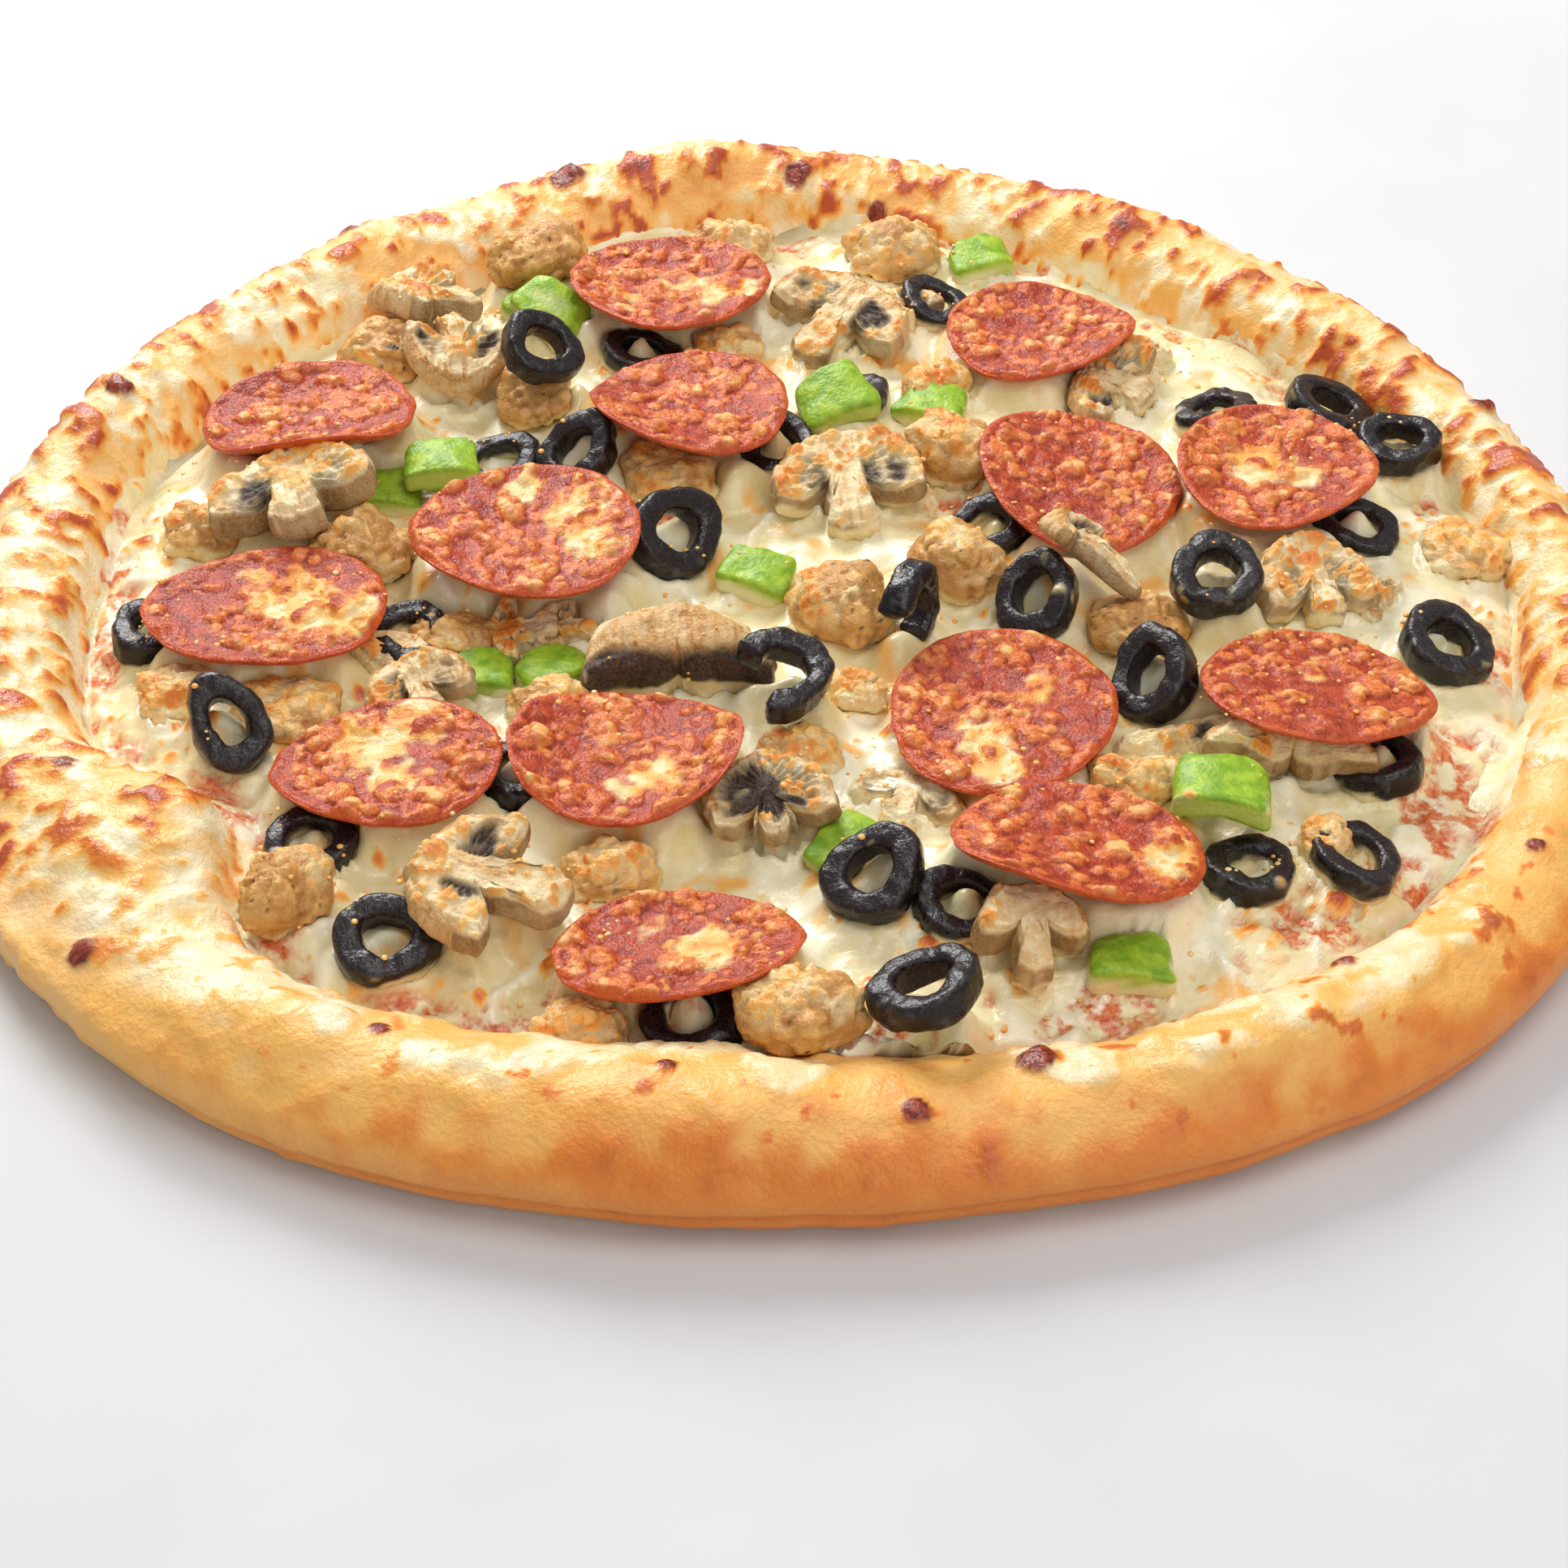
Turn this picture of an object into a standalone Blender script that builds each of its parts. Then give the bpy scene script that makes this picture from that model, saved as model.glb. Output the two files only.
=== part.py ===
"""A twelve inch supreme pizza, whole and uncut.

The dough has a raised, bubbled rim round a flat bed. A cheese layer lies on the bed, with the
smaller and half sunk toppings fused to it. Every larger topping is a solid of its own: it is laid
on the pile in its order, tilted as the pile slopes, and lowered until it all but touches.
Lengths are in millimetres and become metres when a mesh is made.
"""
import math

import bmesh
import bpy
import numpy as np

MM = 0.001

# The dough
RADIUS = 151.0
RIM_HEIGHT = 22.0
BED_HEIGHT = 5.5
RIM_WIDTH = 26.0
CRUST_SEGMENTS = 72

# The cheese layer
CHEESE_THICKNESS = 3.6
CHEESE_SEGMENTS = 45
CHEESE_RINGS = 11
PEPPERONI_SEGMENTS = 18

# The toppings
PEPPERONI_RADIUS = 19.6
PEPPERONI_THICKNESS = 2.4
OLIVE_RADIUS = 8.6
OLIVE_HOLE = 4.6
OLIVE_HEIGHT = 5.4
SUNK_OLIVE = (8.6, 7.4, 3.6)
SAUSAGE_SUNK = 0.55
GAP = 0.35

# The height map that the toppings are laid on
CELL = 0.5
HALF_SPAN = 165.0
GOLDEN = 2.399963

# Outline of the dough: share of the radius by which each harmonic swells it (cosine, sine)
OUTLINE = {2: (0.0016, -0.0049), 3: (0.0025, -0.0247), 4: (-0.0039, -0.0010), 5: (-0.0020, 0.0045)}

# Swellings of the rim: direction in degrees, distance from the centre, half length, half width, rise
RIM_BUBBLES = [
    (215, 118, 17, 15, 7.5), (97, 141, 17, 11, 4.5), (84, 127, 13, 11, 4.0),
    (60, 138, 14, 10, 2.5), (32, 138, 15, 9, 2.5), (5, 140, 14, 9, 2.0),
    (335, 139, 18, 10, 2.5), (300, 138, 20, 11, 2.5), (265, 137, 22, 11, 2.5),
    (238, 139, 15, 10, 2.5), (190, 140, 15, 9, 2.0), (165, 138, 15, 10, 2.5), (130, 139, 16, 10, 2.5),
]

# Pepperoni: x, y, width share, depth share
PEPPERONI = {
    "pepperoni_01": (-23, 88, 1.04, 1.00), "pepperoni_02": (51, 74, 0.94, 0.96),
    "pepperoni_03": (-18, 43, 0.99, 0.98), "pepperoni_04": (-90, 38, 1.00, 1.00),
    "pepperoni_05": (55, 23, 0.96, 1.12), "pepperoni_06": (91, 22, 0.96, 1.04),
    "pepperoni_07": (-46, -2, 1.03, 1.02), "pepperoni_08": (-91, -18, 1.12, 0.88),
    "pepperoni_09": (37, -43, 0.97, 1.12), "pepperoni_10": (90, -42, 1.00, 0.88),
    "pepperoni_11": (-65, -59, 1.00, 0.80), "pepperoni_12": (-26, -58, 0.97, 0.94),
    "pepperoni_13": (46, -82, 1.04, 0.82), "pepperoni_14": (-16, -102, 1.00, 0.72),
}

# Olive rings: x, y, radius share, flattening, tilt about x and y, turn, sweep in degrees
OLIVES = {
    "olive_01": (-47, 56, 0.95, 0.90, 14, 8, 0, 360), "olive_02": (-39, 32, 1.00, 0.80, 24, -20, 40, 360),
    "olive_03": (-20, 6, 1.15, 0.85, 28, 40, 60, 360), "olive_04": (-25, -23, 1.00, 0.90, 8, 22, 0, 360),
    "olive_05": (22, -19, 1.00, 0.95, 12, 60, 0, 250), "olive_06": (45, -13, 1.02, 0.85, 22, -34, 60, 360),
    "olive_07": (76, -12, 1.04, 0.90, 18, -16, 80, 360), "olive_08": (63, -35, 1.08, 0.80, 20, -38, 70, 360),
    "olive_09": (0, -41, 1.08, 0.90, 18, 8, 250, 270), "olive_10": (-93, -48, 1.05, 0.70, 30, 20, 130, 360),
    "olive_11": (-62, -96, 0.98, 0.90, 8, 4, 0, 360), "olive_12": (14, -84, 1.00, 0.92, 14, -16, 40, 360),
    "olive_13": (21, -115, 1.05, 0.85, 14, -20, 30, 360), "olive_14": (106, 51, 1.02, 0.92, 6, 12, 0, 360),
    "olive_15": (117, 36, 0.92, 0.95, 8, -8, 0, 360), "olive_16": (116, -22, 1.05, 0.92, 6, 8, 90, 360),
}

# Sausage pieces: x, y, half length, half width, half height, turn
SAUSAGES = {
    "sausage_01": (-51, 102, 11, 9, 6.5, 30), "sausage_02": (-80, 70, 8, 9, 6.5, 70),
    "sausage_03": (-49, 56, 8, 9, 6, 0), "sausage_04": (-77, 3, 8.5, 10, 7, 80),
    "sausage_05": (33, 36, 9, 10, 7, 20), "sausage_06": (31, 0, 8.5, 9.5, 7, 60),
    "sausage_07": (10, -12, 9, 10, 7, 40), "sausage_08": (63, -16, 9, 7, 5.5, 10),
    "sausage_09": (-79, -86, 8, 8, 6, 0), "sausage_10": (2, -115, 10, 8, 6, 10),
}

# Mushroom slices: x, y, half width of the cap, height of the cap, stem length, thickness, turn,
# tilt about x and y, bend
MUSHROOMS = {
    "mushroom_01": (-72, 84, 12, 11, 10, 6, 80, -6, 12, 2.0),
    "mushroom_02": (-65, 66, 10, 11, 6, 6, 190, 10, 0, 2.0),
    "mushroom_03": (-89, 9, 15, 13, 8, 7, 10, 8, 4, 2.0),
    "mushroom_04": (12, 23, 14, 15, 10, 6, 8, 6, 0, 2.5),
    "mushroom_05": (11, 80, 14, 12, 12, 6, -35, 8, -4, 2.0),
    "mushroom_06": (66, 58, 12, 9, 6, 5, 60, 6, 0, 2.5),
    "mushroom_07": (95, -10, 10, 14, 5, 6, 12, 10, 6, 1.5),
    "mushroom_08": (-18, -32, 16, 13, 0, 8, 4, 24, 2, 3.0),
    "mushroom_09": (-62, -38, 9, 9, 4, 6, 20, 12, 0, 1.5),
    "mushroom_10": (-2, -69, 10, 14, 4, 5, 10, 8, 4, 2.0),
    "mushroom_11": (-46, -90, 12, 12, 12, 6, 75, 8, 0, 2.0),
    "mushroom_12": (84, -54, 14, 6, 0, 6, -8, 10, 0, 1.0),
    "mushroom_13": (38, -97, 8, 8, 7, 9, 5, 10, 0, 1.0),
    "mushroom_14": (52, -6, 8, 6, 14, 4, 50, 14, 4, 2.5),
}

# Laid before all else, before the olives, and over the pepperoni
LOWEST_LAID = ("mushroom_12",)
FIRST_LAID = ("mushroom_08", "mushroom_02", "mushroom_07")
LAST_LAID = ("mushroom_14",)
LAST_OLIVE = "olive_04"

# Green pepper pieces: x, y, half length, half width, half height, turn, bend
PEPPERS = {
    "pepper_01": (-47, 81, 7.5, 6.0, 2.2, -30, 1.5), "pepper_02": (-64, 28, 7.0, 5.5, 2.6, 10, 1.5),
    "pepper_03": (10, 50, 7.5, 6.0, 2.8, 20, 2.0), "pepper_04": (71, -67, 8.0, 6.5, 2.4, -10, 2.0),
}

# Lowest toppings, fused to the cheese. Rounded lumps: x, y, half length, half width, half height
CHEESE_LUMPS = [
    (-22, 30, 9, 9, 5.5), (-107, 12, 8, 8, 5), (-11, 115, 10, 7, 5.5), (-58, -18, 8, 6, 4.5),
    (-40, -38, 7, 6, 5), (-28, -79, 8, 6, 5), (-31, -112, 8, 6, 5), (-104, -35, 8, 7, 4),
    (12, -33, 6, 5, 3.5), (3, -50, 8, 6, 4.5), (58, -58, 8, 6, 4.5), (88, -72, 5, 5, 4.5),
    (30, 60, 7, 7, 5), (125, 8, 8, 8, 4), (-11, 76, 8, 6, 4),
    (23, 110, 11, 9, 7), (-85, -38, 10, 8, 4),
]
# Half sunk olives, under or between the larger pieces: x, y
CHEESE_OLIVES = [
    (-29, 73), (-54, 34), (-1, 40), (31, 91), (13, 58), (84, 50), (-112, -16), (-66, -19),
    (-14, -110), (28, -88), (75, -78), (100, -52), (-44, -57), (106, 13), (38, 14), (-77, -73),
    (92, -76),
]
# Half sunk green peppers: x, y, turn
CHEESE_PEPPERS = [
    (-51, 88, 40), (-75, 26, 0), (41, 108, 20), (29, 53, -20), (-54, -29, 0), (-40, -28, 30),
    (54, -99, 0), (-5, -1, -20), (10, -73, 50),
]


def outline_factor(angle):
    """Share of the radius at an angle: one plus a few harmonics."""
    share = np.ones_like(angle)
    for order, (cosine, sine) in OUTLINE.items():
        share = share + cosine * np.cos(order * angle) + sine * np.sin(order * angle)
    return share


def bubbles(x, y):
    """Rise of the rim's swellings: a smooth hump with long and short half axes for each one."""
    rise = np.zeros_like(x)
    for degrees, distance, half_length, half_width, height in RIM_BUBBLES:
        turn = math.radians(degrees)
        along = -math.sin(turn) * x + math.cos(turn) * y
        across = math.cos(turn) * x + math.sin(turn) * y - distance
        reach = (along / half_length) ** 2 + (across / half_width) ** 2
        rise = rise + height * np.exp(-reach)
    return rise


def bed_edge(angle):
    """Distance from the centre at which the bed ends and the rim starts."""
    dent = 16.0 * np.exp(-((np.angle(np.exp(1j * (angle - math.radians(215))))) / 0.17) ** 2)
    width = RIM_WIDTH - 3.5 * np.cos(2 * angle) - 2.0 * np.cos(angle)
    return RADIUS * outline_factor(angle) - width + 1.5 * np.sin(5 * angle + 1.0) - dent


def rim_top(x, y):
    """Height of the dough's upper face: a flat bed, then a rounded rim with its swellings."""
    angle = np.arctan2(y, x)
    radius = np.hypot(x, y)
    inner = bed_edge(angle)
    outer = RADIUS * outline_factor(angle)
    share = np.clip((radius - inner) / (outer - inner), 0.0, 1.0)
    crest = np.sin(math.pi * np.clip(share * 0.86, 0, 1) ** 0.85) ** 0.75
    lean = 0.93 + 0.03 * np.sin(3 * angle) + 0.03 * np.sin(7 * angle + 2.0)
    swell = bubbles(x, y) * np.clip((radius - inner + 10.0) / 12.0, 0.0, 1.0)
    swell = swell * np.clip((outer - radius) / 9.0, 0.0, 1.0)
    return BED_HEIGHT + (RIM_HEIGHT * lean - BED_HEIGHT - 3.0) * crest + swell


def cheese_top(x, y):
    """Height of the cheese: the bed, its thickness and low waves, thinner towards the rim."""
    angle = np.arctan2(y, x)
    reach = np.hypot(x, y) / bed_edge(angle)
    waves = 0.7 * np.sin(x / 9.0 + 1.0) * np.sin(y / 11.0) + 0.5 * np.sin((x - y) / 14.0)
    fall = np.clip((1.0 - reach) / 0.10, 0.0, 1.0)
    return BED_HEIGHT + GAP + 0.8 + (CHEESE_THICKNESS - 0.8 + waves) * fall ** 0.5


def make_object(name, points, faces, material):
    """A mesh object from points in millimetres, with faces made triangles and turned outwards."""
    mesh = bpy.data.meshes.new(name)
    mesh.from_pydata((np.asarray(points) * MM).tolist(), [], [tuple(face) for face in faces])
    work = bmesh.new()
    work.from_mesh(mesh)
    bmesh.ops.triangulate(work, faces=work.faces[:])
    bmesh.ops.recalc_face_normals(work, faces=work.faces[:])
    work.to_mesh(mesh)
    work.free()
    mesh.materials.append(material)
    mesh.shade_smooth()
    obj = bpy.data.objects.new(name, mesh)
    bpy.context.scene.collection.objects.link(obj)
    return obj


def make_material(name, colour, roughness):
    """A plain Principled finish."""
    material = bpy.data.materials.new(name)
    material.use_nodes = True
    shader = material.node_tree.nodes["Principled BSDF"]
    shader.inputs["Base Color"].default_value = (*colour, 1.0)
    shader.inputs["Roughness"].default_value = roughness
    shader.inputs["Metallic"].default_value = 0.0
    return material


def band(first, second, count):
    """Quads between two rings of points that start at two indices."""
    following = [(i + 1) % count for i in range(count)]
    return [(first + i, first + j, second + j, second + i) for i, j in enumerate(following)]


def lathe(rings, centres):
    """Points and faces of a closed solid from rings of equal count, closed by two centre points."""
    count = len(rings[0])
    points = np.concatenate(rings + [np.asarray(centres)])
    faces = []
    for i in range(len(rings) - 1):
        faces += band(i * count, (i + 1) * count, count)
    last = (len(rings) - 1) * count
    low, high = len(points) - 2, len(points) - 1
    for i in range(count):
        faces.append((low, (i + 1) % count, i))
        faces.append((high, last + i, last + (i + 1) % count))
    return points, faces


def crust_shape():
    """The dough: rings from under the middle, round the outer wall and over the rim to the bed."""
    angle = np.linspace(0.0, 2.0 * math.pi, CRUST_SEGMENTS, endpoint=False)
    outer = RADIUS * outline_factor(angle)
    inner = bed_edge(angle)
    # The wall: inward distance from the widest place, height
    wall = [(7.0, 0.0), (2.6, 1.4), (0.6, 5.0), (0.0, 9.0), (1.0, 13.0)]
    rings = []
    for inward, height in wall:
        radius = outer - inward
        level = height + (0.5 * np.sin(9 * angle) if height > 2.0 else 0.0)
        rings.append(np.stack([radius * np.cos(angle), radius * np.sin(angle), level + 0.0 * angle], axis=1))
    for share in (0.90, 0.78, 0.65, 0.52, 0.39, 0.26, 0.13, 0.0):
        radius = inner + (outer - inner) * share
        x, y = radius * np.cos(angle), radius * np.sin(angle)
        rings.append(np.stack([x, y, rim_top(x, y)], axis=1))
    centres = [(0.0, 0.0, 0.0), (0.0, 0.0, BED_HEIGHT)]
    for share in (0.90, 0.78):
        radius = inner * share
        x, y = radius * np.cos(angle), radius * np.sin(angle)
        rings.append(np.stack([x, y, rim_top(x, y)], axis=1))
    return lathe(rings, centres)


def cheese_shape():
    """The bare cheese layer: a flat underside, and rings of a wavy top that thins to the rim."""
    angle = np.linspace(0.0, 2.0 * math.pi, CHEESE_SEGMENTS, endpoint=False)
    edge = bed_edge(angle) - 0.2
    floor = BED_HEIGHT + GAP
    rings = []
    for share in (0.90, 0.985):
        x, y = edge * share * np.cos(angle), edge * share * np.sin(angle)
        rings.append(np.stack([x, y, rim_top(x, y) + GAP], axis=1))
    for share in np.linspace(0.985, 1.0 / CHEESE_RINGS, CHEESE_RINGS):
        x, y = edge * share * np.cos(angle), edge * share * np.sin(angle)
        rings.append(np.stack([x, y, cheese_top(x, y)], axis=1))
    centres = [(0.0, 0.0, floor), (0.0, 0.0, float(cheese_top(np.zeros(1), np.zeros(1))[0]))]
    return lathe(rings, centres)


def pepperoni_shape(index, radius, widths, heights):
    """A thin round slice: rings on its underside and top, each at the height of the pile below."""
    angle = np.linspace(0.0, 2.0 * math.pi, PEPPERONI_SEGMENTS, endpoint=False)
    wobble = 1.0 + 0.025 * np.sin(2 * angle + GOLDEN * index) + 0.018 * np.sin(3 * angle + 1.7 * index)
    rings = []
    for share, up in ((0.5, 0.0), (0.96, 0.1), (1.0, 0.55), (0.94, 1.0), (0.5, 1.0)):
        x = radius * share * wobble * widths[0] * np.cos(angle)
        y = radius * share * wobble * widths[1] * np.sin(angle)
        curl = 1.2 * share ** 6
        rings.append(np.stack([x, y, heights(x, y) + curl + up * PEPPERONI_THICKNESS], axis=1))
    middle = float(heights(np.zeros(1), np.zeros(1))[0])
    return lathe(rings, [(0.0, 0.0, middle), (0.0, 0.0, middle + PEPPERONI_THICKNESS)])


def olive_shape(share, flat, sweep):
    """A ring cut from an olive: a rounded barrel section carried round the hole, or part way."""
    section = [(OLIVE_HOLE, 0.0), (OLIVE_HOLE + 0.5, -0.5), (OLIVE_RADIUS - 0.7, -0.5),
               (OLIVE_RADIUS, 0.0), (OLIVE_RADIUS - 0.7, 0.5), (OLIVE_HOLE + 0.5, 0.5)]
    whole = sweep >= 360
    count = 12 if whole else 11
    angle = np.radians(np.linspace(0.0, sweep, count, endpoint=not whole))
    points = []
    for turn in angle:
        crinkle = 1.0 + 0.05 * math.sin(3 * turn + 1.0)
        for radius, level in section:
            reach = radius * share * crinkle
            points.append((reach * math.cos(turn), flat * reach * math.sin(turn), OLIVE_HEIGHT * level))
    size = len(section)
    faces = []
    for i in range(count if whole else count - 1):
        faces += band(i * size, ((i + 1) % count) * size, size)
    if not whole:
        faces.append(tuple(range(size)))
        faces.append(tuple(range((count - 1) * size, count * size)))
    return np.array(points), faces


def sausage_shape(index, half_sizes, detail):
    """A knob of sausage: a ball with three scales of lumps, drawn to its half sizes."""
    work = bmesh.new()
    bmesh.ops.create_icosphere(work, subdivisions=detail, radius=1.0)
    points = np.array([vertex.co[:] for vertex in work.verts])
    faces = [tuple(vertex.index for vertex in face.verts) for face in work.faces]
    work.free()
    phase = GOLDEN * index
    lumps = 0.10 * np.sin(2.3 * points[:, 0] + phase) * np.sin(2.6 * points[:, 1] + 2 * phase)
    lumps += 0.08 * np.sin(4.1 * points[:, 1] - phase) * np.sin(3.7 * points[:, 2] + phase)
    points = points * (1.0 + lumps)[:, None]
    points[:, 2] = np.maximum(points[:, 2], -SAUSAGE_SUNK)
    return points * np.array(half_sizes), faces


def mushroom_shape(half_width, cap, stem, thickness, bend):
    """A slice down a mushroom: cap arc, the notches under it and the stem, made thick and bent."""
    arc = np.radians(np.linspace(-12.0, 192.0, 13))
    outline = [(half_width * math.cos(a), cap * math.sin(a)) for a in arc]
    if stem > 0:
        foot = half_width * 0.34
        neck = half_width * 0.26
        under = [(-0.62 * half_width, -0.22 * cap), (-neck, 0.02 * cap), (-neck, -0.45 * stem),
                 (-foot, -0.85 * stem), (-0.5 * foot, -stem), (0.5 * foot, -stem), (foot, -0.85 * stem),
                 (neck, -0.45 * stem), (neck, 0.02 * cap), (0.62 * half_width, -0.22 * cap)]
    else:
        under = [(-0.55 * half_width, -0.14 * cap), (0.0, 0.02 * cap), (0.55 * half_width, -0.14 * cap)]
    outline = np.array(outline + under)
    middle = outline.mean(axis=0)
    rings = []
    for inward, level in ((0.92, -0.5), (1.0, 0.0), (0.92, 0.5)):
        flat = middle + (outline - middle) * inward
        lift = bend * ((flat[:, 0] / half_width) ** 2 - 0.5)
        rings.append(np.column_stack([flat, level * thickness + lift]))
    count = len(outline)
    faces = [tuple(range(count))[::-1], tuple(range(2 * count, 3 * count))]
    for i in range(2):
        faces += band(i * count, (i + 1) * count, count)
    return np.concatenate(rings), faces


def pepper_shape(half_length, half_width, half_height, bend):
    """A diced piece of pepper wall: a slab with slightly drawn in ends, bowed along its length."""
    across = np.array([-1.0, -0.33, 0.33, 1.0])
    along = np.array([-1.0, 0.0, 1.0])
    points = []
    for level in (-1.0, 1.0):
        for u in across:
            for v in along:
                inset = 1.0 - 0.07 * (level > 0) - 0.05 * u * v
                lift = bend * (0.6 - u * u)
                points.append((u * half_length * inset, v * half_width * inset, level * half_height + lift))
    rows, columns = len(across), len(along)
    lower = rows * columns
    faces = []
    for i in range(rows - 1):
        for j in range(columns - 1):
            corner = i * columns + j
            quad = (corner, corner + columns, corner + columns + 1, corner + 1)
            faces.append(quad)
            faces.append(tuple(lower + k for k in reversed(quad)))
    border = [i * columns for i in range(rows)] + [(rows - 1) * columns + j for j in range(1, columns)]
    border += [i * columns + columns - 1 for i in reversed(range(rows - 1))]
    border += list(reversed(range(1, columns - 1)))
    for i, here in enumerate(border):
        there = border[(i + 1) % len(border)]
        faces.append((here, there, lower + there, lower + here))
    return np.array(points), faces


def turned(points, tilt_x, tilt_y, turn):
    """Points turned in degrees: in their own plane first, then about the x and y axes."""
    a, b, c = (math.radians(value) for value in (tilt_x, tilt_y, turn))
    about_z = np.array([[math.cos(c), -math.sin(c), 0], [math.sin(c), math.cos(c), 0], [0, 0, 1]])
    about_x = np.array([[1, 0, 0], [0, math.cos(a), -math.sin(a)], [0, math.sin(a), math.cos(a)]])
    about_y = np.array([[math.cos(b), 0, math.sin(b)], [0, 1, 0], [-math.sin(b), 0, math.cos(b)]])
    return points @ (about_y @ about_x @ about_z).T


def grown(heights, pick):
    """Each cell takes the highest or lowest of itself and its eight neighbours."""
    padded = np.pad(heights, 1, mode="edge")
    result = heights
    for i in range(3):
        for j in range(3):
            result = pick(result, padded[i:i + heights.shape[0], j:j + heights.shape[1]])
    return result


class Pile:
    """The height of all that is laid so far, on a square grid of cells."""

    def __init__(self):
        self.count = int(2 * HALF_SPAN / CELL)
        self.heights = np.full((self.count, self.count), -1e3)

    def scan(self, obj, highest):
        """The highest or lowest face of an object over each cell, and the first cell of its window."""
        mesh = obj.data
        mesh.calc_loop_triangles()
        points = np.array([vertex.co[:] for vertex in mesh.vertices]) / MM + np.array(obj.location[:]) / MM
        triangles = np.array([triangle.vertices[:] for triangle in mesh.loop_triangles])
        low = np.floor((points[:, :2].min(axis=0) + HALF_SPAN) / CELL).astype(int) - 1
        high = np.ceil((points[:, :2].max(axis=0) + HALF_SPAN) / CELL).astype(int) + 1
        empty = -1e3 if highest else 1e3
        window = np.full(tuple(high - low + 1), empty)
        pick = np.maximum if highest else np.minimum
        for corners in points[triangles]:
            first = np.floor((corners[:, :2].min(axis=0) + HALF_SPAN) / CELL).astype(int) - low
            last = np.ceil((corners[:, :2].max(axis=0) + HALF_SPAN) / CELL).astype(int) - low
            xs = (np.arange(first[0], last[0] + 1) + low[0]) * CELL - HALF_SPAN
            ys = (np.arange(first[1], last[1] + 1) + low[1]) * CELL - HALF_SPAN
            x, y = np.meshgrid(xs, ys, indexing="ij")
            side, other = corners[1] - corners[0], corners[2] - corners[0]
            area = side[0] * other[1] - side[1] * other[0]
            if abs(area) < 1e-9:
                continue
            u = ((x - corners[0, 0]) * other[1] - (y - corners[0, 1]) * other[0]) / area
            v = (side[0] * (y - corners[0, 1]) - side[1] * (x - corners[0, 0])) / area
            inside = (u >= -1e-6) & (v >= -1e-6) & (u + v <= 1 + 1e-6)
            level = np.where(inside, corners[0, 2] + u * side[2] + v * other[2], empty)
            part = window[first[0]:last[0] + 1, first[1]:last[1] + 1]
            window[first[0]:last[0] + 1, first[1]:last[1] + 1] = pick(part, level)
        return grown(window, pick), low

    def lay(self, obj):
        """Lower an object until its underside is the gap above the pile, then add its top to it."""
        under, low = self.scan(obj, highest=False)
        rows = slice(low[0], low[0] + under.shape[0])
        columns = slice(low[1], low[1] + under.shape[1])
        covered = under < 1e2
        lift = np.max((self.heights[rows, columns] + GAP - under)[covered])
        obj.location.z += lift * MM
        self.add(obj)

    def add(self, obj):
        """Raise the cells under an object to its top."""
        top, low = self.scan(obj, highest=True)
        rows = slice(low[0], low[0] + top.shape[0])
        columns = slice(low[1], low[1] + top.shape[1])
        self.heights[rows, columns] = np.maximum(self.heights[rows, columns], top)

    def fit(self, x, y, radius, order, stiffness=0.0):
        """A smooth sheet of a polynomial order through the pile round a place, as a function."""
        steps = np.arange(-radius, radius + CELL, 2 * CELL)
        dx, dy = (grid.ravel() for grid in np.meshgrid(steps, steps, indexing="ij"))
        near = np.hypot(dx, dy) <= radius
        dx, dy = dx[near], dy[near]
        rows = ((x + dx + HALF_SPAN) / CELL).astype(int)
        columns = ((y + dy + HALF_SPAN) / CELL).astype(int)
        powers = [(i, j) for i in range(order + 1) for j in range(order + 1 - i)]

        def terms(px, py):
            return np.stack([(px / radius) ** i * (py / radius) ** j for i, j in powers], axis=1)

        matrix = terms(dx, dy)
        hold = np.diag([stiffness * len(dx) * max(0, i + j - 1) for i, j in powers])
        solution = np.linalg.solve(matrix.T @ matrix + hold, matrix.T @ self.heights[rows, columns])
        return lambda px, py: terms(np.atleast_1d(px), np.atleast_1d(py)) @ solution


def slope_of(sheet):
    """Tilt in degrees about x and y that follows a fitted sheet, held to a gentle slope."""
    step = 5.0
    rise_x = float(sheet(step, 0.0)[0] - sheet(-step, 0.0)[0]) / (2 * step)
    rise_y = float(sheet(0.0, step)[0] - sheet(0.0, -step)[0]) / (2 * step)
    steepest = 0.5
    rise_x, rise_y = (max(-steepest, min(steepest, rise)) for rise in (rise_x, rise_y))
    return math.degrees(math.atan(rise_y)), -math.degrees(math.atan(rise_x))


def laid(pile, name, shape, x, y, reach, tilt, turn, material):
    """Make a topping, tilt it as the pile slopes and by its own tilt, and lay it down."""
    points, faces = shape
    slope = slope_of(pile.fit(x, y, reach, 1))
    points = turned(points, tilt[0] + slope[0], tilt[1] + slope[1], turn)
    obj = make_object(name, points, faces, material)
    obj.location = (x * MM, y * MM, 0.05)
    pile.lay(obj)
    return obj


def lay_olive(pile, name, material):
    """Lay one olive ring of the table on the pile."""
    x, y, share, flat, tilt_x, tilt_y, turn, sweep = OLIVES[name]
    laid(pile, name, olive_shape(share, flat, sweep), x, y, OLIVE_RADIUS, (tilt_x, tilt_y), turn, material)


def lay_mushroom(pile, name, material):
    """Make one mushroom slice from its row and lay it down."""
    x, y, wide, cap, stem, thick, turn, tilt_x, tilt_y, bend = MUSHROOMS[name]
    shape = mushroom_shape(wide, cap, stem, thick, bend)
    laid(pile, name, shape, x, y, wide, (tilt_x, tilt_y), turn, material)


def centre_all(crust):
    """Move every object so that the middle of the dough's box stands at the origin."""
    points = np.array([vertex.co[:] for vertex in crust.data.vertices])
    middle = (points.min(axis=0) + points.max(axis=0)) / 2.0
    for obj in bpy.data.objects:
        obj.location.x -= middle[0]
        obj.location.y -= middle[1]


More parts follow.
